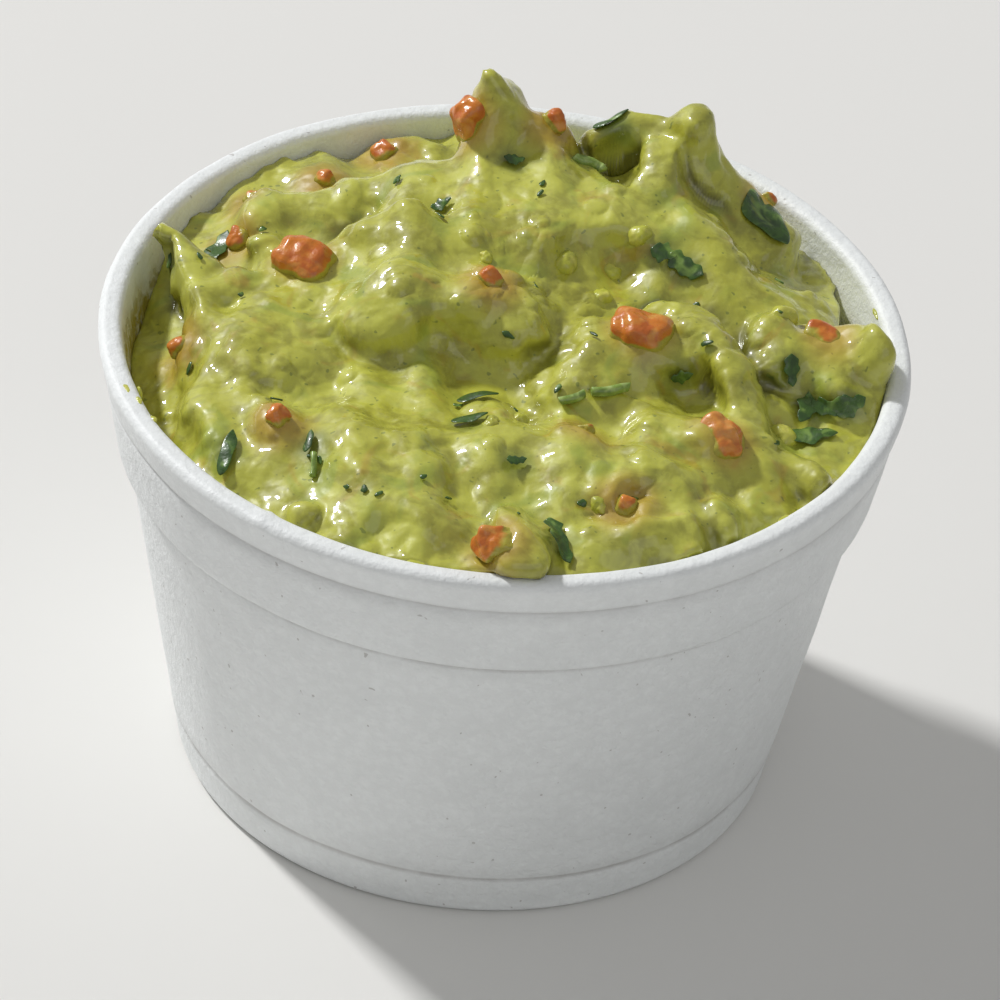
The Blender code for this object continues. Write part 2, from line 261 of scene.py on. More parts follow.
@dataclass(frozen=True)
class Finish:
    """A finish: its name, its even settings, and the node graph that varies it."""

    name: str
    base: str
    roughness: float = 0.4
    specular: float = 0.5
    scatter: float = 0.0                                  # subsurface weight
    scatter_colour: tuple[float, float, float] = (1, 1, 1)
    scatter_depth: float = 1.5                            # mm
    coat: float = 0.0
    coat_roughness: float = 0.1

    def material(self) -> bpy.types.Material:
        """The material, made once and shared."""
        made = bpy.data.materials.get(self.name)
        if made:
            return made
        made = bpy.data.materials.new(self.name)
        made.use_nodes = True
        tree = made.node_tree
        shader = tree.nodes["Principled BSDF"]
        settings = {
            "Base Color": linear(self.base), "Roughness": self.roughness,
            "Specular IOR Level": self.specular, "Subsurface Weight": self.scatter,
            "Subsurface Radius": self.scatter_colour,
            "Subsurface Scale": self.scatter_depth * MM,
            "Coat Weight": self.coat, "Coat Roughness": self.coat_roughness,
        }
        for name, value in settings.items():
            shader.inputs[name].default_value = value
        self.dress(tree, shader)
        return made

    def dress(self, tree: bpy.types.NodeTree, shader: bpy.types.Node) -> None:
        """Adds the varying part of the finish; the plain one has none."""

    def noise(self, tree: bpy.types.NodeTree, size: float, detail: float = 2.0,
              rough: float = 0.5, warp: float = 0.0) -> bpy.types.NodeSocket:
        """Noise in the object's own space, with bumps of a size in millimetres."""
        place = add_node(tree, "ShaderNodeTexCoord").outputs["Object"]
        node = add_node(tree, "ShaderNodeTexNoise", None, {
            "Vector": place, "Scale": 1 / (size * MM), "Detail": detail,
            "Roughness": rough, "Distortion": warp})
        return node.outputs["Fac"]

    def between(self, tree: bpy.types.NodeTree, value: bpy.types.NodeSocket, low: float,
                high: float, to_low: float = 0.0, to_high: float = 1.0) -> bpy.types.NodeSocket:
        """The value carried from one range to another, eased and clamped."""
        node = add_node(tree, "ShaderNodeMapRange", {"interpolation_type": "SMOOTHSTEP"}, {
            "Value": value, "From Min": low, "From Max": high, "To Min": to_low, "To Max": to_high})
        return node.outputs["Result"]

    def times(self, tree: bpy.types.NodeTree, first: Any, second: Any,
              operation: str = "MULTIPLY") -> bpy.types.NodeSocket:
        """Two numbers joined by one operation of arithmetic."""
        return add_node(tree, "ShaderNodeMath", {"operation": operation}, {0: first, 1: second}).outputs[0]

    def blend(self, tree: bpy.types.NodeTree, share: Any, first: Any, second: Any) -> bpy.types.NodeSocket:
        """Two colours mixed by a share; a colour is a hex string or a socket."""
        ends = [linear(end) if isinstance(end, str) else end for end in (first, second)]
        node = add_node(tree, "ShaderNodeMix", {"data_type": "RGBA"}, {0: share, 6: ends[0], 7: ends[1]})
        return node.outputs[2]

    def own(self, tree: bpy.types.NodeTree, name: str) -> bpy.types.NodeSocket:
        """The piece's own value of that name."""
        return add_node(tree, "ShaderNodeAttribute", {"attribute_name": name}).outputs["Fac"]

    def bump(self, tree: bpy.types.NodeTree, height: bpy.types.NodeSocket, depth: float,
             under: bpy.types.NodeSocket | None = None) -> bpy.types.NodeSocket:
        """A bump whose height of 1 stands the depth in millimetres above 0."""
        links: dict[Any, Any] = {"Strength": 1.0, "Distance": depth * MM, "Height": height}
        if under is not None:
            links["Normal"] = under
        return add_node(tree, "ShaderNodeBump", None, links).outputs["Normal"]


@dataclass(frozen=True)
class PasteFinish(Finish):
    """Mashed avocado: wet, mottled from yellow-green to olive, with painted shade in its hollows."""

    pale: str = "#C9CC52"
    olive: str = "#7F7B22"
    # Dark olive of the painted shade in the heap's hollows.
    hollow_shade: str = "#5A5806"
    fresh: str = "#93A63C"
    rusty: str = "#B87A26"
    herb: str = "#3F5A1E"

    def dress(self, tree: bpy.types.NodeTree, shader: bpy.types.Node) -> None:
        """Colour from patches at three sizes and painted shade in the hollows, soft gloss and a faint bump."""
        broad = self.between(tree, self.noise(tree, 14, 2, 0.5, 0.4), 0.38, 0.64)
        patch = self.between(tree, self.noise(tree, 4.2, 3, 0.55, 0.8), 0.42, 0.66)
        fine = self.between(tree, self.noise(tree, 1.3, 3, 0.6, 0.3), 0.45, 0.72)
        colour = self.blend(tree, self.times(tree, broad, 0.55), self.base, self.pale)
        colour = self.blend(tree, self.times(tree, patch, 0.55), colour, self.olive)
        colour = self.blend(tree, self.times(tree, fine, 0.45), colour, self.pale)
        green = self.between(tree, self.noise(tree, 6.5, 2, 0.5, 0.6), 0.56, 0.7)
        colour = self.blend(tree, self.times(tree, green, 0.55), colour, self.fresh)
        hollow = self.own(tree, "hollow")
        brown = self.between(tree, self.noise(tree, 8.5, 3, 0.6, 1.2), 0.57, 0.70)
        colour = self.blend(tree, self.times(tree, brown, 0.3), colour, self.rusty)
        # Painted shade: the hollow value darkens the colour towards dark olive in the heap's hollows.
        colour = self.blend(tree, self.times(tree, hollow, 0.85), colour, self.hollow_shade)
        speck = self.between(tree, self.noise(tree, 0.9, 1, 0.5, 0.0), 0.70, 0.76)
        colour = self.blend(tree, self.times(tree, speck, 0.5), colour, self.herb)
        colour = self.blend(tree, self.times(tree, self.own(tree, "herb"), 0.5), colour, self.herb)
        colour = self.blend(tree, self.times(tree, self.own(tree, "tomato"), 0.5), colour, self.rusty)
        tree.links.new(colour, shader.inputs["Base Color"])
        gloss = self.between(tree, self.noise(tree, 3.0, 2, 0.6, 0.5), 0.35, 0.65, 0.42, 0.6)
        tree.links.new(gloss, shader.inputs["Roughness"])
        coarse = self.bump(tree, self.noise(tree, 2.2, 1.5, 0.45, 0.3), 0.27)
        normal = self.bump(tree, self.noise(tree, 0.9, 1, 0.5, 0.0), 0.045, coarse)
        tree.links.new(normal, shader.inputs["Normal"])


@dataclass(frozen=True)
class FoamFinish(Finish):
    """Moulded bead foam: matt white, faintly leathery, smooth on the lip, oiled inside."""

    stain: str = "#A89A45"
    shade: str = "#DFE1E1"
    # Grey of the specks of grime, and of the painted shade in the outer creases.
    grime_and_crease_shade: str = "#9A948F"
    lip_from: float = 51.0

    def dress(self, tree: bpy.types.NodeTree, shader: bpy.types.Node) -> None:
        """Bead cells and a fine grain as bump, and the oily film by its own value."""
        place = add_node(tree, "ShaderNodeTexCoord").outputs["Object"]
        height = add_node(tree, "ShaderNodeSeparateXYZ", None, {0: place}).outputs["Z"]
        wall = self.between(tree, height, (self.lip_from + 1) * MM, self.lip_from * MM, 0.6, 1.0)
        cells = add_node(tree, "ShaderNodeTexVoronoi", {"feature": "SMOOTH_F1"}, {
            "Vector": place, "Scale": 1 / (1.5 * MM), "Smoothness": 0.6}).outputs["Distance"]
        grain = self.noise(tree, 0.55, 3, 0.6, 0.2)
        rough = self.times(tree, self.times(tree, cells, 0.5), self.times(tree, grain, 0.9), "ADD")
        height_of = self.times(tree, rough, wall)
        soft = self.bump(tree, self.noise(tree, 9, 2, 0.5), 0.12)
        tree.links.new(self.bump(tree, height_of, 0.24, soft), shader.inputs["Normal"])
        film = self.times(tree, self.own(tree, "stain"),
                          self.between(tree, self.noise(tree, 2.4, 3, 0.6, 0.6), 0.3, 0.62, 0.3, 1.0))
        faint = self.between(tree, self.noise(tree, 7, 2), 0.35, 0.7)
        colour = self.blend(tree, self.times(tree, faint, 0.5), self.base, "#E9ECEC")
        pebble = self.between(tree, rough, 0.45, 0.85)
        colour = self.blend(tree, self.times(tree, pebble, 0.3), colour, self.shade)
        speck = self.between(tree, self.noise(tree, 0.7, 0, 0.5), 0.83, 0.86)
        colour = self.blend(tree, self.times(tree, speck, 0.5), colour, self.grime_and_crease_shade)
        # Painted shade: darker lines along the three creases round the outside, from the crease value, broken
        # up by noise.
        crease_shade_fading = self.between(tree, self.noise(tree, 5, 2), 0.25, 0.6, 0.45, 1.0)
        crease_shade_lines = self.times(tree, self.own(tree, "crease"), crease_shade_fading)
        colour = self.blend(tree, crease_shade_lines, colour, self.grime_and_crease_shade)
        tree.links.new(self.blend(tree, film, colour, self.stain), shader.inputs["Base Color"])
        tree.links.new(self.between(tree, film, 0.1, 0.6, self.roughness, 0.25), shader.inputs["Roughness"])


@dataclass(frozen=True)
class MottledFinish(Finish):
    """A wet bit of vegetable: two more colours in patches, one bump and an uneven gloss."""

    second: str = "#FFFFFF"
    third: str = "#000000"
    smeared: str = "#A8A63C"
    patch: float = 1.6          # mm
    grain: float = 0.5          # mm
    depth: float = 0.1          # mm

    def dress(self, tree: bpy.types.NodeTree, shader: bpy.types.Node) -> None:
        """Patches of the second and third colours over the base."""
        some = self.between(tree, self.noise(tree, self.patch, 2, 0.55, 0.5), 0.42, 0.64)
        few = self.between(tree, self.noise(tree, self.patch * 1.7, 2, 0.5, 0.9), 0.5, 0.68)
        colour = self.blend(tree, self.times(tree, some, 0.8), self.base, self.second)
        colour = self.blend(tree, self.times(tree, few, 0.8), colour, self.third)
        film = self.between(tree, self.times(tree, self.own(tree, "paste"), self.noise(tree, 1.6, 2), "ADD"),
                            0.75, 1.15)
        colour = self.blend(tree, self.times(tree, film, 0.9), colour, self.smeared)
        tree.links.new(colour, shader.inputs["Base Color"])
        gloss = self.between(tree, self.noise(tree, self.patch, 2), 0.35, 0.65,
                             self.roughness * 0.75, self.roughness * 1.4)
        tree.links.new(gloss, shader.inputs["Roughness"])
        normal = self.bump(tree, self.noise(tree, self.grain, 2, 0.5), self.depth)
        tree.links.new(normal, shader.inputs["Normal"])


class Finishes(Enum):
    """Every finish of the object."""

    FOAM = FoamFinish("white bead foam", "#F1F4F4", roughness=0.5, specular=0.45, scatter=0.12,
                      scatter_depth=2.0)
    PASTE = PasteFinish("wet mashed avocado", "#B6B63A", roughness=0.38, specular=0.5, scatter=0.12,
                        scatter_colour=(1.0, 0.9, 0.2), scatter_depth=1.4, coat=1.0, coat_roughness=0.07)
    TOMATO = MottledFinish("wet tomato flesh", "#D07A28", roughness=0.36, scatter=0.1,
                           scatter_colour=(1.0, 0.4, 0.1), scatter_depth=1.2, coat=0.2,
                           second="#BC5E20", third="#DC9C4A", patch=2.2, grain=0.9, depth=0.16)
    LEAF = MottledFinish("wet coriander leaf", "#3F5F22", roughness=0.32, scatter=0.05,
                         scatter_colour=(0.5, 1.0, 0.2), scatter_depth=1.0, coat=0.2,
                         second="#2A451D", third="#7E9C48", patch=1.5, grain=0.45, depth=0.06)
    STEM = MottledFinish("coriander stem", "#86A04A", roughness=0.32, scatter=0.1,
                         scatter_colour=(0.6, 1.0, 0.3), scatter_depth=1.0, coat=0.2,
                         second="#A9BE72", third="#5E7A2C", patch=1.2, grain=0.4, depth=0.04)
    CHUNK = MottledFinish("soft avocado lump", "#BCBF45", roughness=0.33, scatter=0.12,
                          scatter_colour=(1.0, 0.9, 0.3), scatter_depth=1.4, coat=0.3,
                          second="#D0CC62", third="#9BA036", patch=2.0, grain=0.8, depth=0.12)


# ---------------------------------------------------------------- the foam cup

class Mark(NamedTuple):
    """A dent in the cup: its angle in degrees, its height, its reach both ways, its depth."""

    angle: float
    height: float
    reach_round: float
    reach_up: float
    depth: float


@dataclass
class FoamCup:
    """A turned cup of moulded foam with a round lip, a band, a stacking step and a foot ring."""

    height: float = 56.4
    lip_radius: float = 46.0
    lip_round_out: float = 1.0
    lip_round_in: float = 1.1
    lip_skirt: float = 3.3
    inner_radius: float = 43.2
    inner_taper: float = 0.1905
    band_top_radius: float = 45.1
    band_top_drop: float = 4.5
    step_drop: float = 14.1
    step_radius_above: float = 43.4
    step_radius_below: float = 42.25
    foot_radius: float = 34.6
    foot_round: float = 1.2
    foot_groove_height: float = 5.9
    foot_ring_inner: float = 30.5
    foot_recess: float = 1.2
    floor_thickness: float = 3.3
    floor_fillet: float = 2.5
    columns: int = 400
    spacing: float = 0.55
    marks: tuple[Mark, ...] = (
        Mark(-133.9, 48.6, 0.35, 1.6, 0.35), Mark(-132.9, 46.9, 0.3, 0.9, 0.25),
        Mark(-75.0, 54.6, 1.2, 0.9, 0.3), Mark(-123.2, 56.0, 0.9, 0.5, 0.22),
        Mark(-28.0, 49.4, 1.4, 1.2, 0.14), Mark(-101.0, 20.0, 2.4, 3.0, 0.12),
        Mark(-62.0, 30.0, 3.0, 2.2, 0.1), Mark(64.0, 38.0, 2.6, 3.4, 0.14),
        Mark(160.0, 26.0, 2.0, 2.8, 0.12), Mark(118.0, 50.0, 0.8, 1.2, 0.2),
    )

    def wall(self, height: Array | float) -> Array | float:
        """Radius of the inner wall at a height above the rim."""
        return self.inner_radius + self.inner_taper * height

    def arc(self, centre: tuple[float, float], radius: float, start: float, end: float) -> Array:
        """Points on an arc, in degrees from outwards towards up, both ends included."""
        angle = np.radians(np.linspace(start, end, 9))
        return np.stack([centre[0] + radius * np.cos(angle), centre[1] + radius * np.sin(angle)], -1)

    def profile(self) -> Array:
        """Half section from the middle of the floor over the lip and down to the foot's middle.

        Straight runs and arcs, walked at an even spacing. Returns radius and height.
        """
        top = self.height
        corner = self.inner_radius - (top - self.floor_thickness - self.floor_fillet) * self.inner_taper
        band, step = top - self.band_top_drop, top - self.step_drop
        slope = (self.step_radius_below - self.foot_radius) / (step - self.foot_round)
        groove = self.foot_radius + slope * (self.foot_groove_height - self.foot_round)
        runs = [
            np.array([(0.6, self.floor_thickness)]),
            self.arc((corner - self.floor_fillet, self.floor_thickness + self.floor_fillet),
                     self.floor_fillet, -90, 0),
            self.arc((self.inner_radius + self.lip_round_in, top - self.lip_round_in),
                     self.lip_round_in, 180, 90),
            self.arc((self.lip_radius - self.lip_round_out, top - self.lip_round_out),
                     self.lip_round_out, 90, 0),
            np.array([
                (self.lip_radius - 0.3, top - self.lip_skirt + 0.9),
                (self.lip_radius - 0.5, top - self.lip_skirt + 0.2),
                (self.band_top_radius + 0.14, band + 0.3),
                (self.band_top_radius - 0.2, band),
                (self.band_top_radius - 0.02, band - 0.3),
                (self.step_radius_above + 0.12, step + 0.7),
                (self.step_radius_above + 0.02, step + 0.35),
                (self.step_radius_above - 0.5, step + 0.1),
                (self.step_radius_below - 0.1, step - 0.15),
                (self.step_radius_below - 0.25, step - 0.5),
                (self.step_radius_below - 0.1, step - 1.2),
                (groove + 0.12, self.foot_groove_height + 0.45),
                (groove - 0.16, self.foot_groove_height),
                (groove - 0.05, self.foot_groove_height - 0.45),
            ]),
            self.arc((self.foot_radius - self.foot_round, self.foot_round), self.foot_round, 0, -90),
            np.array([(self.foot_ring_inner, 0.0),
                      (self.foot_ring_inner - self.foot_recess, self.foot_recess),
                      (0.6, self.foot_recess)]),
        ]
        points = np.concatenate(runs)
        gaps = np.linalg.norm(np.diff(points, axis=0), axis=1)
        along = np.concatenate([[0], np.cumsum(gaps)])
        short = np.maximum(gaps / self.spacing, 1)
        fine = np.where(gaps > 8, gaps / 2.2, np.where(gaps > 2, gaps / 0.9, short))
        steps = np.ceil(fine).astype(int)
        walk = np.concatenate([np.linspace(a, b, n, endpoint=False)
                               for a, b, n in zip(along[:-1], along[1:], steps)] + [along[-1:]])
        return np.stack([np.interp(walk, along, points[:, i]) for i in range(2)], -1)

    def stain(self, points: Array) -> Array:
        """Share of oily film: on the inner wall above the paste, mostly at the left."""
        radius = np.hypot(points[..., 0], points[..., 1])
        angle = np.degrees(np.arctan2(points[..., 1], points[..., 0])) % 360
        inside = (radius < self.wall(points[..., 2] - self.height) + 0.6) & (points[..., 2] > 30)
        drop = self.height - points[..., 2]
        edge = 1.6 + 1.5 * Noise(31, 6)(points) + 0.8 * Noise(32, 2)(points)
        left = smooth_step(np.abs(angle - 185), 34, 16)
        return inside * (left * smooth_step(drop, edge + 0.2, edge + 3.2) * 0.9
                         + 0.5 * smooth_step(drop, edge + 2.5, edge + 5))

    def crease(self, points: Array) -> Array:
        """Share of the painted shade that gathers in the three creases round the outside."""
        radius = np.hypot(points[..., 0], points[..., 1])
        outside = radius > self.wall(points[..., 2] - self.height) + 0.9
        crease_shade_lines = ((self.height - self.band_top_drop, 0.3, 0.35),
                 (self.height - self.step_drop - 0.45, 0.42, 0.75),
                 (self.foot_groove_height, 0.3, 0.55))
        return outside * sum(share * np.exp(-((points[..., 2] - at) / reach) ** 2)
                             for at, reach, share in crease_shade_lines)

    def build(self) -> bpy.types.Object:
        """Turns the profile round the axis, sinks the marks into it and gives it its film."""
        profile = self.profile()
        angle = np.arange(self.columns) * 2 * np.pi / self.columns
        radius, height = np.broadcast_arrays(profile[:, :1], np.zeros(self.columns))[0], profile[:, 1:]
        rings = np.stack([radius * np.cos(angle), radius * np.sin(angle),
                          np.broadcast_to(height, radius.shape)], -1)
        tangent = np.gradient(profile, axis=0)
        out = unit(np.stack([-tangent[:, 1], tangent[:, 0]], -1))
        outward = np.stack([out[:, :1] * np.cos(angle), out[:, :1] * np.sin(angle),
                            np.broadcast_to(out[:, 1:], radius.shape)], -1)
        drop = 0.1 * Noise(21, 11)(rings) + 0.03 * Noise(22, 3)(rings)
        for mark in self.marks:
            turn = (np.degrees(angle)[None] - mark.angle + 180) % 360 - 180
            far = (turn / mark.reach_round) ** 2 + ((height - mark.height) / mark.reach_up) ** 2
            drop = drop + mark.depth * np.exp(-far) * (radius > self.foot_ring_inner)
        drop = drop * smooth_step(rings[..., 2], 0.5, 3.0)
        rings = rings + outward * drop[..., None]
        first = np.array([0, 0, profile[0, 1]])
        last = np.array([0, 0, profile[-1, 1]])
        surface = Surface()
        everywhere = np.concatenate([first[None], rings.reshape(-1, 3), last[None]])
        surface.add_ball(first, rings, last, stain=self.stain(everywhere),
                         crease=self.crease(everywhere))
        return surface.piece("foam_cup_shell", Finishes.FOAM.value, "foam", "foam_cup")


# ---------------------------------------------------------------- the paste

class Dollop(NamedTuple):
    """A rounded bar of paste from one ball to another, and how softly it joins the rest.

    Each ball is x, y, height above the rim, radius.
    """

    first: tuple[float, float, float, float]
    last: tuple[float, float, float, float]
    softness: float

    def distance(self, points: Array) -> Array:
        """Distance to the bar, whose radius runs evenly from end to end."""
        start = np.array(self.first[:3], float)
        along = np.array(self.last[:3], float) - start
        share = np.clip(((points - start) @ along) / (along @ along), 0, 1)
        away = np.linalg.norm(points - start - share[..., None] * along, axis=-1)
        return away - (self.first[3] + (self.last[3] - self.first[3]) * share)


DOLLOPS = {
    "back mound": Dollop((-10, 11, -2.5, 10.0), (9, 14, -2.5, 10.0), 5.0),
    "back mound top": Dollop((-9, 21, 0, 7.0), (13, 22, 0, 7.5), 5.0),
    "right slope": Dollop((19, 16, -2.0, 8.0), (29, 8, -5, 7.5), 5.0),
    "left mound": Dollop((-22, 6, -5, 9.0), (-26, -8, -6, 9.0), 4.0),
    "centre crest": Dollop((-14, 0, -0.5, 7.6), (-2, 0, 0, 7.6), 3.0),
    "peak body": Dollop((-1.6, 28, 3.2, 6.0), (2, 27, 1.5, 6.6), 3.0),
    "peak cone": Dollop((-4.7, 28.8, 15.3, 1.1), (-3.0, 28.5, 8.4, 4.8), 1.5),
    "peak shoulder": Dollop((3.2, 28.6, 6.4, 3.2), (4.4, 27.5, 3, 3.6), 1.5),
    "peak foot": Dollop((-5, 24, 4.5, 3.4), (-5.5, 17, 2.6, 4.5), 2.5),
    "knob": Dollop((19.4, 28, 10.6, 2.4), (20.6, 27.2, 4, 3.8), 1.2),
    "knob ridge": Dollop((8.6, 30, 7.2, 2.3), (16.5, 29.2, 8.4, 2.2), 1.2),
    "knob front": Dollop((16.4, 25.6, 7.6, 2.2), (14.6, 20.5, 4.2, 3.0), 1.2),
    "knob lobe": Dollop((21.5, 27.5, 4, 3.8), (28, 22.8, -1.5, 4.2), 2.5),
    "saddle": Dollop((7, 25, 1.5, 4.6), (14, 22, 1.5, 5.0), 2.0),
    "right mound": Dollop((12.5, -4.5, 0.3, 4.8), (20, -2, 0.5, 5.2), 2.5),
    "right ridge": Dollop((19, 1, 3, 3.0), (26, -6, 2.2, 2.7), 1.5),
    "right ridge end": Dollop((26, -6, 2.2, 2.7), (28, -12.5, -0.6, 2.8), 1.5),
    "right mound foot": Dollop((8.5, -9, -1.6, 5.2), (14, -12, -2.6, 5.4), 3.0),
    "front mound": Dollop((-14, -25, -6, 9.0), (10, -25, -6, 9.2), 5.0),
    "front right mound": Dollop((19, -25, -5.4, 8.0), (26, -19, -4.4, 7.0), 4.0),
    "front overhang": Dollop((3, -37, -2.3, 5.2), (3.6, -41.6, 0.1, 3.6), 2.0),
    "front left fold": Dollop((-13, -30, -3.7, 6.5), (-7, -36, -3.2, 5.5), 2.5),
    "tomato lump": Dollop((19.5, -18.5, -1, 5.0), (22.5, -18.5, 0.2, 4.2), 2.0),
    "front right edge": Dollop((12.5, -36, -3.4, 4.8), (20, -33.5, -3.8, 4.8), 2.5),
    "front right lump": Dollop((24.6, -30.5, -1.2, 3.0), (25.5, -28.5, -1.6, 3.4), 1.5),
    "right fold": Dollop((29.5, -20, -1.8, 3.2), (30, -27, -3, 3.0), 1.5),
    "rim lobe": Dollop((36, 0.5, -1, 4.6), (40.6, -0.5, 0.7, 3.7), 2.0),
    "rim lobe foot": Dollop((38.5, -4.5, -2, 3.8), (37.5, -1, -2.4, 4.2), 2.0),
    "right lump": Dollop((30.5, 1.8, 1.6, 3.5), (31.8, -2.2, 0.4, 4.0), 2.2),
    "low right lump": Dollop((30.5, -9, -2.5, 3.4), (33, -8, -2.5, 3.0), 1.5),
    "small right lump": Dollop((35, -20, -3, 2.6), (33.5, -18.5, -2.6, 2.8), 1.5),
    "left horn": Dollop((-36.5, 6.5, -1.0, 3.0), (-42.0, 10.8, 2.9, 1.3), 1.5),
    "left flap": Dollop((-34.5, 3, -0.8, 2.4), (-31, 4.2, -0.4, 2.8), 1.5),
    "left flap leg": Dollop((-34.5, 1.5, -1.5, 2.8), (-31.5, -11.5, -4, 3.6), 2.0),
    "left bud": Dollop((-27.6, 11.5, 0.5, 2.4), (-25.8, 8.5, -0.2, 2.6), 1.2),
    "left lower bud": Dollop((-24.8, 2.2, 0.4, 2.6), (-23.8, 3.5, 0.2, 2.6), 1.2),
    "back left shelf": Dollop((-24, 27, -7, 5.5), (-12, 34, -7, 6.0), 3.0),
    "back left knob": Dollop((-11.6, 36.8, -2.4, 2.4), (-17, 36, -3.6, 2.6), 1.5),
    "back left crest": Dollop((-18.5, 22, 0.6, 3.6), (-13.5, 22.5, 1, 3.6), 2.0),
    "back left step": Dollop((-28, 18, -3, 4.4), (-20, 20, -1.2, 4.6), 2.5),
    "middle crest": Dollop((-15, 10.5, 3.2, 3.8), (-6, 10.5, 4, 4.0), 2.5),
    "front left mound": Dollop((-26, -18, -5.6, 6.4), (-19, -21, -4.6, 6.6), 3.0),
    "front left edge": Dollop((-32, -15, -6.2, 4.8), (-26, -27, -5.4, 4.8), 2.5),
    "rim ball": Dollop((-20.6, -35.6, -1.4, 1.9), (-20.6, -35.4, -2.6, 2.3), 0.8),
}

HOLLOWS = {
    "central hollow": Dollop((-8, -10.5, 6.5, 5.0), (1.5, -9.5, 5.5, 4.4), 3.0),
    "right hollow": Dollop((7.6, 6, 7.2, 4.6), (13, 7.8, 6.4, 4.4), 1.8),
    "knob hollow": Dollop((10.8, 26.2, 6.9, 2.9), (11.8, 24.2, 6.4, 2.6), 0.9),
    "back left hollow": Dollop((-13.5, 15, 7.6, 2.4), (-9, 15, 7.8, 2.0), 1.5),
    "ridge hollow": Dollop((21.5, -9.5, 2.2, 3.2), (17, -10.5, 2.8, 2.4), 2.0),
    "left gap": Dollop((-42, 7, -1, 3.8), (-41.5, -9, -2, 4.4), 1.5),
    "left gap end": Dollop((-41.5, -9, -2, 4.4), (-38, -18.5, -1.5, 3.0), 1.5),
    "front hollow": Dollop((15.2, -31, 3, 2.6), (15, -33, 2.4, 2.0), 1.5),
    "leaf hollow": Dollop((35.5, -9.5, 1.6, 3.0), (37.5, -15, 1.4, 3.0), 1.5),
    "slit": Dollop((-29.3, -26.5, 0, 0.9), (-29, -32, -1.5, 0.8), 0.8),
}


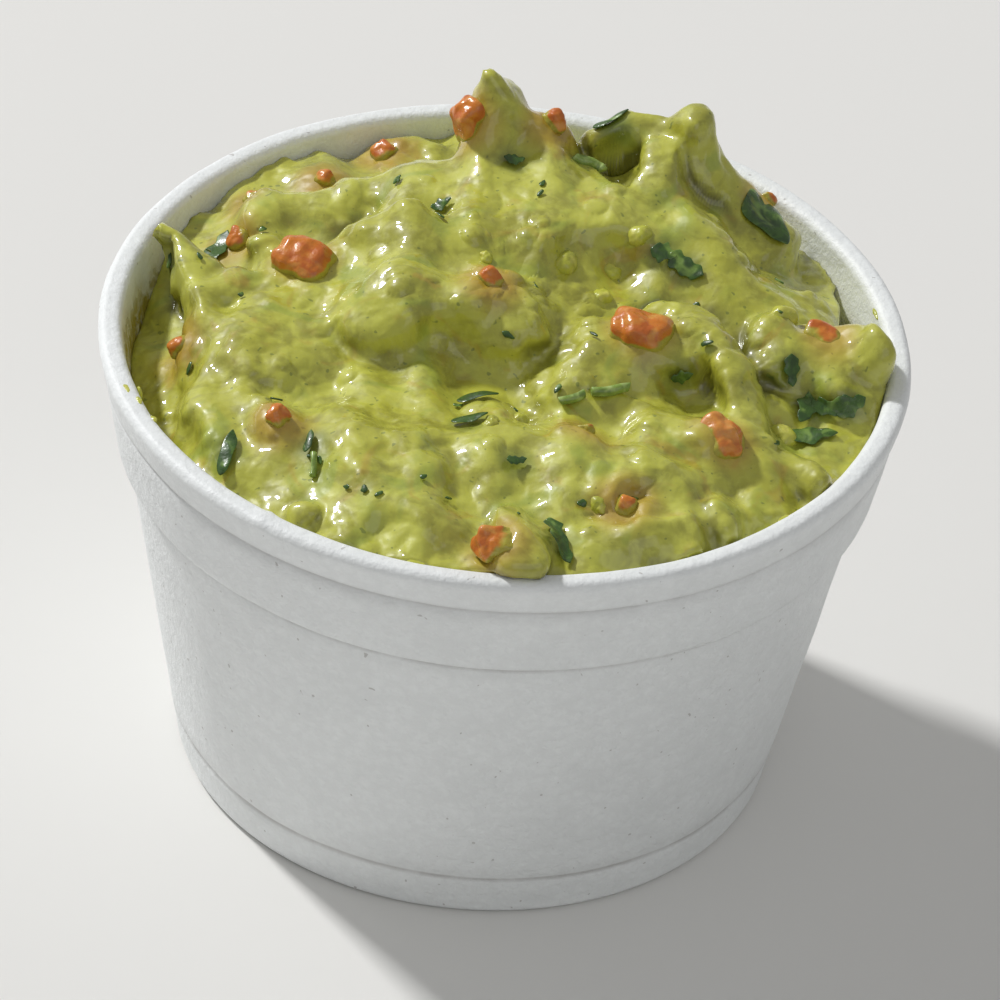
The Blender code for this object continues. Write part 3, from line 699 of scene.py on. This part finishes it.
@dataclass
class Paste:
    """The heap of guacamole: a bed at the wall's level, dollops on it, and hollows in it."""

    cup: FoamCup
    stuck: Array                                          # centres of the diced tomato
    herbs: Array                                          # centres of the leaves
    wall_level: tuple[tuple[float, float], ...] = (
        (0, -3.0), (40, -4.5), (90, -4.0), (115, -2.8), (145, -2.6), (170, -8.0),
        (200, -8.5), (222, -3.6), (250, -1.6), (270, -0.6), (300, -1.6), (330, -3.0))
    ring_level: tuple[tuple[float, float], ...] = (
        (0, -1.0), (40, -4.5), (90, -4.5), (140, -5.0), (170, -8.5), (200, -9.0),
        (225, -4.5), (270, -1.0), (310, -3.5), (340, -3.5))
    middle_level: float = 1.0
    core_radius: float = 36.5
    core_floor: float = -8.0
    rim_share: float = 0.22
    fan_lean: float = 8.0
    fan_sweep: float = 84.0
    rings: int = 125
    columns: int = 720
    wall_rings: int = 5
    crumbs: int = 110

    def by_angle(self, angle: Array, levels: tuple[tuple[float, float], ...]) -> Array:
        """Height at an angle in radians, eased between the levels given by degrees."""
        degrees, heights = np.array(levels, float).T
        degrees = np.concatenate([degrees - 360, degrees, degrees + 360])
        heights = np.tile(heights, 3)
        at = np.degrees(angle) % 360
        i = np.searchsorted(degrees, at, side="right") - 1
        share = (at - degrees[i]) / (degrees[i + 1] - degrees[i])
        share = share * share * (3 - 2 * share)
        return heights[i] * (1 - share) + heights[i + 1] * share

    def distance(self, points: Array) -> Array:
        """About how far points are above the paste: dollops joined softly, less the hollows."""
        moved = points + waves(points, 13.0, 0.6, 3) + waves(points, 6.0, 0.3, 4)
        radius = np.hypot(moved[..., 0], moved[..., 1])
        share = np.clip(radius / self.cup.inner_radius, 0, 1.1)
        angle = np.arctan2(moved[..., 1], moved[..., 0])
        level = self.by_angle(angle, self.wall_level) * share**2.5 + self.middle_level * (1 - share**2)
        away = (moved[..., 2] - level) * 0.85
        for dollop in DOLLOPS.values():
            away = soft_min(away, dollop.distance(moved), dollop.softness * 0.75)
        for hollow in HOLLOWS.values():
            away = -soft_min(-away, hollow.distance(moved), hollow.softness)
        return away

    def limit(self, height: Array) -> Array:
        """Radius that the paste keeps to: a hair into the wall, and free above the lip."""
        return self.cup.wall(np.minimum(height, 0)) + 0.25 + 2.6 * smooth_step(height, -1.2, 0.4)

    def lip_distance(self, points: Array) -> Array:
        """Distance to the rounded lip: a bar with round corners turned about the axis."""
        across = np.abs(np.hypot(points[..., 0], points[..., 1]) - 44.6) - 0.3
        down = np.abs(points[..., 2] + 3.1) - 1.9
        return np.hypot(np.maximum(across, 0), np.maximum(down, 0)) - 1.15

    def free(self, points: Array) -> Array:
        """About how far points are outside the paste as the wall and lip bound it."""
        beyond = np.hypot(points[..., 0], points[..., 1]) - self.limit(points[..., 2])
        return np.maximum(np.maximum(self.distance(points), beyond), 0.1 - self.lip_distance(points))

    def slope(self, points: Array, step: float = 0.25) -> Array:
        """Unit direction in which the distance grows, by differences along the three axes."""
        here = self.distance(points)
        return unit(np.stack([self.distance(points + way) - here for way in np.eye(3) * step], -1))

    def surface(self, ring: Array, angle: Array) -> Array:
        """Where rays from outside first meet the paste.

        The rays aim at a disc under the surface, and past its edge they fan out from upright
        to level. Each ray is walked inwards by a share of the distance left.

        Args:
            ring: 0 in the middle to 1 at the wall.
            angle: radians round the axis.

        Returns:
            Points of the upper surface.
        """
        inner = np.clip(ring / (1 - self.rim_share), 0, 1)
        outer = np.clip((ring - 1 + self.rim_share) / self.rim_share, 0, 1)
        lean = np.radians(self.fan_lean * inner**2 + self.fan_sweep * outer)
        height = self.core_floor + (self.by_angle(angle, self.ring_level) - self.core_floor) * inner**2
        outward = np.stack([np.cos(angle), np.sin(angle)], -1)
        foot = np.concatenate([(self.core_radius * inner)[..., None] * outward, height[..., None]], -1)
        way = np.concatenate([np.sin(lean)[..., None] * outward, np.cos(lean)[..., None]], -1)
        reach = np.full(ring.shape, 26.0)
        for _ in range(48):
            left = self.free(foot + reach[..., None] * way)
            reach = np.maximum(np.where(left > 0.02, reach - 0.8 * left, reach), 0)
        return foot + reach[..., None] * way

    def onto(self, points: Array, most: float) -> Array:
        """Points moved once along the slope of the free distance towards the paste, by no more
        than the given distance over the slope."""
        left = self.free(points)
        slope = np.stack([self.free(points + way) - left for way in np.eye(3) * 0.1], -1) / 0.1
        steep = np.maximum((slope**2).sum(-1), 0.3)
        return points - np.clip(left / steep, -most, most)[..., None] * slope

    def evened(self, points: Array) -> Array:
        """The grid with its rings spaced evenly along every column, so that steep places have
        as many as flat ones.

        Each column is walked at even steps of its own length, and the new points are moved
        along the slope of the distance back onto the paste.

        Args:
            points: the surface by ring and column.

        Returns:
            The new grid, with the same middle and the same last ring.
        """
        gaps = np.linalg.norm(np.diff(points, axis=0), axis=-1)
        gaps = np.minimum(gaps, 6.0) ** 0.9
        along = np.concatenate([np.zeros((1, points.shape[1])), np.cumsum(gaps, axis=0)])
        share = along / along[-1]
        kernel = np.hanning(43)[1:-1] / np.hanning(43).sum()
        steady = np.apply_along_axis(
            lambda row: np.convolve(np.pad(row, 20, "wrap"), kernel, "valid"), 1, share)
        walk = np.arange(self.rings) / (self.rings - 1)
        columns = []
        for column in range(points.shape[1]):
            at = np.interp(walk, steady[:, column], np.arange(self.rings))
            low = np.minimum(at.astype(int), self.rings - 2)
            part = (at - low)[:, None]
            columns.append(points[low, column] * (1 - part) + points[low + 1, column] * part)
        moved = self.onto(np.stack(columns, 1), 0.8)
        return np.concatenate([points[:1], moved[1:-1], points[-1:]])

    def settled(self, points: Array, rounds: int = 9) -> Array:
        """The grid with each point eased towards the middle of its four neighbours, and then
        moved along the slope of the distance back onto the paste, in rounds."""
        for _ in range(rounds):
            inner = points[1:-1]
            beside = np.roll(inner, 1, axis=1) + np.roll(inner, -1, axis=1)
            moved = self.onto(inner + ((points[:-2] + points[2:] + beside) / 4 - inner) * 0.75, 0.5)
            points = np.concatenate([points[:1], moved, points[-1:]])
        return points

    def relief(self, points: Array) -> Array:
        """Height of the small lumps, crags and crumbs on the dollops.

        Folded noise makes round lumps with creases between them, two finer noises roughen
        them, and seeded balls of mash stand out as caps.
        """
        mask = smooth_step(Noise(12, 9)(points), -0.3, 0.5)
        height = 0.75 * (np.abs(Noise(11, 5.2)(points)) - 0.3) * (0.35 + 0.65 * mask)
        height += 0.34 * (np.abs(Noise(13, 2.4)(points)) - 0.3) * (0.25 + 0.75 * mask)
        height += 0.05 * Noise(14, 1.1)(points)
        height += 0.35 * self.near(points, self.stuck, 5.0)
        rng = np.random.default_rng(15)
        flat = points.reshape(-1, 3)
        centre = flat[rng.integers(0, len(flat), self.crumbs)]
        caps = np.zeros(len(flat))
        for place, radius in zip(centre, rng.uniform(0.5, 1.5, self.crumbs)):
            caps = np.maximum(caps, np.sqrt(np.maximum(
                radius**2 - ((flat - place) ** 2).sum(-1), 0)) ** 1.3 * 0.3)
        return height + caps.reshape(height.shape)

    def near(self, points: Array, centres: Array, reach: float) -> Array:
        """Share of 1 at the centres, falling to 0 at the reach."""
        flat = points.reshape(-1, 3)
        least = np.min([((flat - centre) ** 2).sum(-1) for centre in centres], axis=0)
        return smooth_step(np.sqrt(least), reach, reach * 0.35).reshape(points.shape[:-1])

    def seat(self, points: Array, rounds: int = 4) -> tuple[Array, Array]:
        """Points moved along the slope onto the dollops.

        Returns:
            The points on the surface, and the direction out of it at each.
        """
        for _ in range(rounds):
            points = points - self.slope(points) * self.distance(points)[..., None]
        return points, self.slope(points)

    def build(self) -> bpy.types.Object:
        """Meets the surface, raises its relief and closes it down the wall to the floor."""
        ring, angle = np.meshgrid(np.arange(self.rings) / (self.rings - 1),
                                  np.arange(self.columns) * 2 * np.pi / self.columns, indexing="ij")
        grid = self.settled(self.evened(self.surface(ring, angle)))
        out = self.slope(grid)
        inside = smooth_step(ring, 1.0, 0.97)
        # Painted shade: how closed in each point is, from the distance 2 and 5 mm out along its normal, becomes
        # the hollow value that darkens the paste's colour.
        closed = np.clip((1.6 - self.distance(grid + out * 2.0)) / 2.6, 0, 1) \
            + np.clip((4.4 - self.distance(grid + out * 5.0)) / 6.5, 0, 1)
        hollow = smooth_step(closed, 0.25, 1.15)
        grid = grid + out * (self.relief(grid) * inside)[..., None]
        radius = np.hypot(grid[..., 0], grid[..., 1])
        most = self.limit(grid[..., 2])
        grid[..., :2] *= np.minimum(1, most / np.maximum(radius, 1e-6))[..., None]
        down = np.linspace(0, 1, self.wall_rings + 1)[1:, None]
        bottom = self.cup.floor_thickness - self.cup.height + 0.05
        height = grid[-1, :, 2] * (1 - down) + bottom * down
        across = self.cup.wall(height) - 0.05 - 2.4 * smooth_step(down, 0.8, 1.0)
        angles = np.broadcast_to(angle[-1], height.shape)
        wall = np.stack([across * np.cos(angles), across * np.sin(angles), height], -1)
        rings = np.concatenate([grid[1:], wall])
        first, last = grid[0].mean(0), np.array([0, 0, bottom])
        everywhere = np.concatenate([first[None], rings.reshape(-1, 3), last[None]])
        # The painted shade for every point; the wall rings repeat the last ring's.
        shade = np.concatenate([hollow[0, :1], hollow[1:].ravel(),
                                np.repeat(hollow[-1][None], self.wall_rings, 0).ravel(), [0]])
        lift = np.array([0, 0, self.cup.height])
        surface = Surface()
        surface.add_ball(first + lift, rings + lift, last + lift, hollow=shade,
                         tomato=self.near(everywhere, self.stuck, 5.5),
                         herb=self.near(everywhere, self.herbs, 3.2))
        return surface.piece("guacamole_heap", Finishes.PASTE.value, "guacamole", "guacamole")


# ---------------------------------------------------------------- what is stirred in

class Chunk(NamedTuple):
    """A lump: its centre, its three sizes, its turn in degrees, and how square it is."""

    place: tuple[float, float, float]
    size: tuple[float, float, float]
    turn: tuple[float, float, float]
    square: float = 4.0


def chunk_rings(chunk: Chunk, seed: int, rough: float = 0.16, rings: int = 40,
                columns: int = 72) -> tuple[Array, Array, Array]:
    """A superellipsoid with lumpy noise on it.

    A point lies along each direction of a ball, where the sum of its three shares of the
    half sizes, each to the power of the squareness, is 1.

    Args:
        chunk: sizes, turn and place.
        seed: seed of its noise.
        rough: height of the noise.
        rings: rings between its poles.
        columns: points round it.

    Returns:
        First pole, rings and last pole.
    """
    polar = np.linspace(0, np.pi, rings + 2)[:, None]
    around = np.arange(columns) * 2 * np.pi / columns
    way = np.stack([np.sin(polar) * np.cos(around), np.sin(polar) * np.sin(around),
                    np.broadcast_to(np.cos(polar), (rings + 2, columns))], -1)
    reach = (np.abs(way) ** chunk.square).sum(-1) ** (-1 / chunk.square)
    points = way * reach[..., None] * np.array(chunk.size) / 2
    size = max(chunk.size)
    bump = Noise(seed, size * 0.45)(points) + 0.45 * Noise(seed + 50, size * 0.2)(points)
    points = points + way * (bump * rough)[..., None]
    x, y, z = (math.radians(angle) for angle in chunk.turn)
    turn = np.array(Matrix.Rotation(z, 3, "Z") @ Matrix.Rotation(y, 3, "Y") @ Matrix.Rotation(x, 3, "X"))
    points = points @ turn.T + np.array(chunk.place)
    return points[0].mean(0), points[1:-1], points[-1].mean(0)


class Scrap(NamedTuple):
    """A leaf or stem: a place near the surface, its heading in degrees, length and width."""

    place: tuple[float, float, float]
    heading: float
    length: float
    width: float
    curl: float = 0.0
    lift: float = 0.25


class Outline(Enum):
    """How wide a scrap is along its length, as lobes and a depth between them."""

    LEAF = (3, 0.32)
    BLADE = (1, 0.0)
    STEM = (0, 0.0)


def scrap_rings(scrap: Scrap, outline: Outline, paste: Paste, seed: int, rings: int = 26,
                columns: int = 24) -> tuple[Array, Array, Array]:
    """A thin closed leaf or a round stem that lies on the paste.

    Its middle line is bent by its curl and laid on the surface; each ring is an ellipse across
    it, as wide as a half sine with lobes and as thick as a leaf, whose points follow the
    surface too. A stem's rings are round and even.

    Args:
        scrap: its place and sizes.
        outline: its kind.
        paste: what it lies on.
        seed: seed of its edge.
        rings: rings along it.
        columns: points round it.

    Returns:
        First pole, rings and last pole.
    """
    rng = np.random.default_rng(seed)
    along = (1 - np.cos(np.linspace(0, np.pi, rings + 2))) / 2
    around = np.arange(columns) * 2 * np.pi / columns
    centre, out = paste.seat(np.array(scrap.place, float)[None])
    out = out[0]
    aim = np.array([math.cos(math.radians(scrap.heading)), math.sin(math.radians(scrap.heading)), 0.0])
    aim = unit(aim - out * (aim @ out))
    side = np.cross(out, aim)
    lobes, depth = outline.value
    if outline is Outline.STEM:
        half = np.full(along.shape, scrap.width / 2) * np.sqrt(np.clip(along * (1 - along) * 40, 0, 1))
        thick = half
    else:
        half = np.sin(np.pi * along**0.8) ** 0.7 * scrap.width / 2
        half = half * (1 - depth * (1 + np.cos(2 * np.pi * lobes * along + rng.uniform(-0.6, 0.6))) / 2)
        thick = np.full(along.shape, 0.11) * np.sqrt(np.clip(along * (1 - along) * 40, 0, 1))
    bend = scrap.curl * scrap.length * (along - 0.5) ** 2
    across = half[:, None] * np.cos(around)
    if outline is not Outline.STEM:
        across = across * (1 + 0.16 * np.sin(9 * along[:, None] + 3 * np.sign(across) + rng.uniform(0, 6)))
    middle = centre[0] + ((along - 0.5) * scrap.length)[:, None] * aim
    flat = middle[:, None] + (across + bend[:, None])[..., None] * side
    laid, normal = paste.seat(flat, 3)
    laid = flat * 0.35 + laid * 0.65 if outline is Outline.STEM else flat * 0.2 + laid * 0.8
    ripple = 0.22 * Noise(seed, 2.2)(laid) + 0.35
    rise = thick[:, None] * np.sin(around) + scrap.lift + ripple
    points = laid + normal * rise[..., None]
    points = points + np.array([0, 0, paste.cup.height])
    return points[0].mean(0), points[1:-1], points[-1].mean(0)


DICE = {
    "tomato_dice_1": Chunk((-23.3, 7.3, 1.7), (7.2, 6.0, 6.8), (24, 12, -24), 3.0),
    "tomato_dice_2": Chunk((15.0, -3.7, 4.3), (7.2, 5.8, 4.8), (-8, 6, -14), 3.0),
    "tomato_dice_3": Chunk((24.5, -19.2, 1.6), (5.4, 5.4, 6.0), (10, -24, 38), 3.0),
    "tomato_dice_4": Chunk((1.2, -41.0, 1.7), (5.0, 3.8, 3.4), (24, 4, 12), 4.0),
    "tomato_dice_5": Chunk((-6.3, 26.2, 10.2), (3.4, 3.8, 6.4), (8, -18, 28), 4.0),
    "tomato_dice_6": Chunk((36.4, 0.6, 1.7), (6.6, 3.0, 3.4), (12, 20, -22), 4.0),
}

TOMATO_BITS = (
    ((-2.3, 0.3, 6.9), 2.7), ((-24.3, -22.5, 2.7), 2.6), ((3.3, 27.9, 10.1), 2.6),
    ((14.7, -32.0, 1.8), 2.8), ((-22.3, 26.8, 0.1), 2.2), ((-15.8, 35.8, -2.0), 3.0),
    ((-37.0, -4.0, -2.5), 2.4), ((-33.0, 14.0, 0.5), 2.6), ((8.0, 36.0, 3.0), 2.2),
    ((27.0, 27.0, 1.0), 2.4), ((-30.0, 22.0, -1.0), 2.0), ((10.0, -20.0, 3.0), 1.6),
)

LEAVES = (
    (Scrap((34.5, -7.5, -0.5), 75, 5.4, 2.6, 0.1, 0.0), Outline.LEAF),
    (Scrap((39.0, -7.0, -0.5), 60, 4.4, 3.0, 0.1, 0.0), Outline.LEAF),
    (Scrap((27.0, -8.0, -1.0), 40, 3.4, 1.6, 0.1, 0.0), Outline.LEAF),
    (Scrap((-8.0, 16.0, 3.0), 20, 3.0, 1.8, 0.1, 0.0), Outline.LEAF),
    (Scrap((-21.8, 38.4, -2.0), 20, 5.0, 2.4, 0.3), Outline.LEAF),
    (Scrap((-34.5, 13.5, -0.5), 55, 6.5, 3.4, 0.2), Outline.LEAF),
    (Scrap((-37.5, 10.0, -1.0), 20, 4.5, 2.2, 0.2), Outline.LEAF),
    (Scrap((-1.0, 22.5, 7.0), 10, 3.0, 1.8, 0.3), Outline.LEAF),
    (Scrap((10.2, 30.0, 9.2), 12, 4.6, 1.5, 0.1, 0.0), Outline.BLADE),
    (Scrap((28.2, 23.5, 2.0), -48, 8.6, 5.0, 0.15, -0.05), Outline.BLADE),
    (Scrap((17.0, 11.5, 4.5), -20, 3.0, 2.4, 0.0), Outline.LEAF),
    (Scrap((19.7, 10.0, 4.0), -35, 5.0, 2.8, 0.2), Outline.LEAF),
    (Scrap((-3.1, -20.0, 2.0), 5, 4.4, 1.8, 0.1), Outline.BLADE),
    (Scrap((-3.2, -13.0, 3.0), 4, 5.4, 1.9, 0.1), Outline.BLADE),
    (Scrap((2.5, -27.0, 3.0), 15, 2.6, 1.4, 0.2), Outline.LEAF),
    (Scrap((31.5, -4.0, 1.5), -60, 3.6, 2.2, 0.2), Outline.LEAF),
    (Scrap((35.3, -12.0, 0.0), 10, 6.2, 3.2, 0.2), Outline.LEAF),
    (Scrap((37.5, -6.0, -1.0), 40, 5.0, 3.2, 0.2), Outline.LEAF),
    (Scrap((7.8, -37.5, 2.0), -65, 7.0, 4.0, 0.2), Outline.LEAF),
    (Scrap((-20.5, -25.5, 2.0), 75, 3.0, 1.2, 0.3), Outline.BLADE),
    (Scrap((-29.5, -26.0, 0.0), 80, 6.0, 1.8, 0.1), Outline.BLADE),
    (Scrap((20.0, -8.0, 2.0), 60, 2.6, 1.6, 0.2), Outline.LEAF),
)

STEMS = (
        (Scrap((7.5, 26.0, 7.0), 8, 4.6, 1.4, 0.1), Outline.STEM),
    (Scrap((12.0, -12.5, 2.5), 15, 4.4, 1.1, 0.2), Outline.STEM),
    (Scrap((-20.0, -29.0, 2.0), 80, 3.2, 0.8, 0.2), Outline.STEM),
    (Scrap((8.0, -14.0, 2.0), 30, 3.0, 1.0, 0.3), Outline.STEM),
)


@dataclass
class StirredIn:
    """Tomato, coriander and soft lumps that stand out of the paste."""

    paste: Paste
    lumps: int = 12
    flecks: int = 36
    reach: float = 37.0

    def lifted(self, chunk: Chunk) -> Chunk:
        """The chunk with its height taken from the foot instead of the rim."""
        x, y, z = chunk.place
        return chunk._replace(place=(x, y, z + self.paste.cup.height))

    def scattered(self, count: int, seed: int) -> tuple[Array, Array]:
        """Seeded places over the heap, and the directions out of it there."""
        rng = np.random.default_rng(seed)
        radius = self.reach * np.sqrt(rng.uniform(0, 1, count))
        angle = rng.uniform(0, 2 * np.pi, count)
        above = np.stack([radius * np.cos(angle), radius * np.sin(angle), np.full(count, 22.0)], -1)
        for _ in range(60):
            above[:, 2] -= 0.7 * np.maximum(self.paste.distance(above), 0)
        return above, self.paste.slope(above)

    def add(self, surface: Surface, ball: tuple[Array, Array, Array], low: float = 0.1,
            high: float = 1.5) -> None:
        """Adds a ball whose own value says how much paste is smeared on it.

        Args:
            surface: where it goes.
            ball: first pole, rings and last pole.
            low: height above the paste up to which it is all covered.
            high: height above the paste from which it is bare.
        """
        everywhere = np.concatenate([ball[0][None], ball[1].reshape(-1, 3), ball[2][None]])
        above = self.paste.distance(everywhere - [0, 0, self.paste.cup.height])
        surface.add_ball(*ball, paste=smooth_step(above, high, low))

    def dice(self) -> None:
        """Each diced tomato as its own piece."""
        for seed, (node, chunk) in enumerate(DICE.items(), 60):
            surface = Surface()
            self.add(surface, chunk_rings(self.lifted(chunk), seed, 0.55, 60, 110))
            surface.piece(node + "_wet", Finishes.TOMATO.value, "tomato", node)

    def bits(self) -> None:
        """The small bits of tomato."""
        surface = Surface()
        rng = np.random.default_rng(71)
        for number, (place, size) in enumerate(TOMATO_BITS):
            seated, out = self.paste.seat(np.array(place, float)[None])
            sunk = seated[0] + out[0] * size * 0.1
            sizes = tuple(size * rng.uniform(0.7, 1.15, 3))
            chunk = Chunk(tuple(sunk), sizes, tuple(rng.uniform(-60, 60, 3)), 3.4)
            self.add(surface, chunk_rings(self.lifted(chunk), 80 + number, 0.2, 26, 44))
        surface.piece("tomato_bits", Finishes.TOMATO.value, "tomato")

    def soft_lumps(self) -> None:
        """Lumps of avocado that the mashing left."""
        surface = Surface()
        rng = np.random.default_rng(72)
        places, out = self.scattered(self.lumps, 73)
        for number, (place, way) in enumerate(zip(places, out)):
            size = rng.uniform(1.6, 3.4)
            chunk = Chunk(tuple(place - way * size * 0.22), tuple(size * rng.uniform(0.75, 1.2, 3)),
                          tuple(rng.uniform(-90, 90, 3)), 2.4)
            surface.add_ball(*chunk_rings(self.lifted(chunk), 90 + number, 0.22, 22, 36))
        surface.piece("avocado_lumps", Finishes.CHUNK.value, "guacamole")

    def herbs(self) -> None:
        """Coriander leaves and stems, then the smallest flecks of leaf."""
        for name, scraps, finish in (("coriander_leaves", LEAVES, Finishes.LEAF),
                                     ("coriander_stems", STEMS, Finishes.STEM)):
            surface = Surface()
            for seed, (scrap, outline) in enumerate(scraps, 120):
                self.add(surface, scrap_rings(scrap, outline, self.paste, seed), -0.5, 0.5)
            surface.piece(name, finish.value, "guacamole")
        surface = Surface()
        rng = np.random.default_rng(74)
        places, _ = self.scattered(self.flecks, 75)
        for number, place in enumerate(places):
            heading, length = rng.uniform(0, 360), rng.uniform(0.7, 1.7)
            scrap = Scrap(tuple(place), heading, length, rng.uniform(0.35, 0.9), 0.0, 0.0)
            surface.add_ball(*scrap_rings(scrap, Outline.BLADE, self.paste, 200 + number, 6, 10))
        surface.piece("coriander_flecks", Finishes.LEAF.value, "guacamole")

    def build(self) -> None:
        """Makes every kind."""
        self.dice()
        self.bits()
        self.soft_lumps()
        self.herbs()


class Smear(NamedTuple):
    """A thin smear on the cup: its angle in degrees, its place and its three sizes."""

    angle: float
    radius: float
    height: float
    size: tuple[float, float, float]


@dataclass
class LipSmears:
    """Thin smears of paste that the spoon left on the lip and the inner wall."""

    cup: FoamCup
    smears: tuple[Smear, ...] = (
        Smear(-163, 45.0, 56.3, (2.2, 0.7, 0.16)), Smear(-158.5, 44.6, 56.38, (1.7, 0.6, 0.16)),
        Smear(-155.5, 43.9, 56.3, (1.4, 0.6, 0.2)), Smear(-160, 42.75, 54.2, (1.3, 0.6, 2.4)),
        Smear(-151, 43.6, 56.0, (1.4, 0.8, 0.3)), Smear(-100, 43.4, 55.9, (2.2, 0.9, 0.4)),
        Smear(-42, 43.5, 56.0, (1.8, 0.8, 0.35)), Smear(15, 43.4, 55.6, (2.2, 0.9, 0.5)),
    )

    def build(self) -> bpy.types.Object:
        """Flat lumps laid along the lip, in one piece."""
        surface = Surface()
        for seed, smear in enumerate(self.smears, 300):
            angle = math.radians(smear.angle)
            place = (smear.radius * math.cos(angle), smear.radius * math.sin(angle), smear.height)
            chunk = Chunk(place, smear.size, (0, 0, smear.angle + 90), 2.2)
            surface.add_ball(*chunk_rings(chunk, seed, 0.1, 20, 40))
        return surface.piece("lip_smears", Finishes.CHUNK.value, "guacamole")


# ---------------------------------------------------------------- floor, lamps and camera

def turned(first: Array, second: Array, angle: float) -> tuple[Array, Array]:
    """Two directions at right angles, both turned in their plane, the first towards the second."""
    return (first * math.cos(angle) + second * math.sin(angle),
            second * math.cos(angle) - first * math.sin(angle))


@dataclass
class Camera:
    """A long lens that looks down on the cup from the front."""

    distance: float = 0.952
    elevation: float = 37.5
    yaw: float = 0.06
    pitch: float = 0.14
    roll: float = 5.02
    lens: float = 298.8
    look_at: tuple[float, float, float] = (0.0, 0.0, 0.030)

    def build(self) -> bpy.types.Object:
        """Places the camera and makes it the scene's own."""
        up_angle, yaw, pitch, roll = map(math.radians, (self.elevation, self.yaw, self.pitch, self.roll))
        target = np.array(self.look_at)
        place = target + self.distance * np.array([0, -math.cos(up_angle), math.sin(up_angle)])
        ahead = unit(target - place)
        right = unit(np.cross(ahead, [0, 0, 1.0]))
        up = np.cross(right, ahead)
        ahead, right = turned(ahead, right, yaw)
        ahead, up = turned(ahead, up, pitch)
        right, up = turned(right, up, roll)
        data = bpy.data.cameras.new("camera")
        data.lens = self.lens
        data.sensor_width = 36.0
        data.clip_start = 0.05
        obj = bpy.data.objects.new("camera", data)
        matrix = np.eye(4)
        matrix[:3] = np.stack([right, up, -ahead, place], -1)
        obj.matrix_world = Matrix(matrix.tolist())
        bpy.context.scene.collection.objects.link(obj)
        bpy.context.scene.camera = obj
        return obj


class Lamp(NamedTuple):
    """A square white lamp: the direction to it, how far, its side and its power."""

    towards: tuple[float, float, float]
    distance: float
    side: float
    power: float


@dataclass
class Studio:
    """A pale floor, a key lamp from the back left, a soft fill and an even white world."""

    floor_side: float = 6.0
    floor_colour: str = "#E6E5E2"
    world: float = 0.31
    lamps: dict[str, Lamp] = field(default_factory=lambda: {
        "key": Lamp((-0.61, 0.50, 0.68), 3.0, 0.26, 75.0),
        "fill": Lamp((0.35, -0.8, 0.75), 1.6, 1.2, 3.0),
    })

    def floor(self) -> None:
        """A flat plain floor of one even tone."""
        half = self.floor_side / 2
        mesh = bpy.data.meshes.new("floor")
        corners = [(-half, -half, 0), (half, -half, 0), (half, half, 0), (-half, half, 0)]
        mesh.from_pydata(corners, [], [(0, 1, 2, 3)])
        mesh.materials.append(Finish("matt floor", self.floor_colour, roughness=0.7, specular=0.3).material())
        obj = bpy.data.objects.new("floor", mesh)
        bpy.context.scene.collection.objects.link(obj)

    def light(self) -> None:
        """The lamps and the world."""
        for name, lamp in self.lamps.items():
            data = bpy.data.lights.new(name, "AREA")
            data.size = lamp.side
            data.energy = lamp.power
            obj = bpy.data.objects.new(name, data)
            back = unit(np.array(lamp.towards))
            right = unit(np.cross([0, 0, 1.0], back))
            matrix = np.eye(4)
            matrix[:3] = np.stack([right, np.cross(back, right), back, back * lamp.distance + [0, 0, 0.04]], -1)
            obj.matrix_world = Matrix(matrix.tolist())
            bpy.context.scene.collection.objects.link(obj)
        world = bpy.data.worlds.new("even white")
        world.use_nodes = True
        ground = world.node_tree.nodes["Background"]
        ground.inputs["Color"].default_value = (1, 1, 1, 1)
        ground.inputs["Strength"].default_value = self.world
        bpy.context.scene.world = world

    def build(self) -> None:
        """Floor and light, and the plain view of colours."""
        self.floor()
        self.light()
        bpy.context.scene.view_settings.view_transform = "Standard"


def main() -> None:
    """Builds the camera, the studio, the cup, the paste and what is in it."""
    logging.basicConfig(level=logging.INFO, format="%(name)s: %(message)s")
    Camera().build()
    Studio().build()
    cup = FoamCup()
    cup.build()
    stuck = np.array([chunk.place for chunk in DICE.values()] + [place for place, _ in TOMATO_BITS], float)
    herbs = np.array([scrap.place for scrap, _ in LEAVES], float)
    paste = Paste(cup, stuck, herbs)
    paste.build()
    StirredIn(paste).build()
    LipSmears(cup).build()


if __name__ == "__main__":
    main()
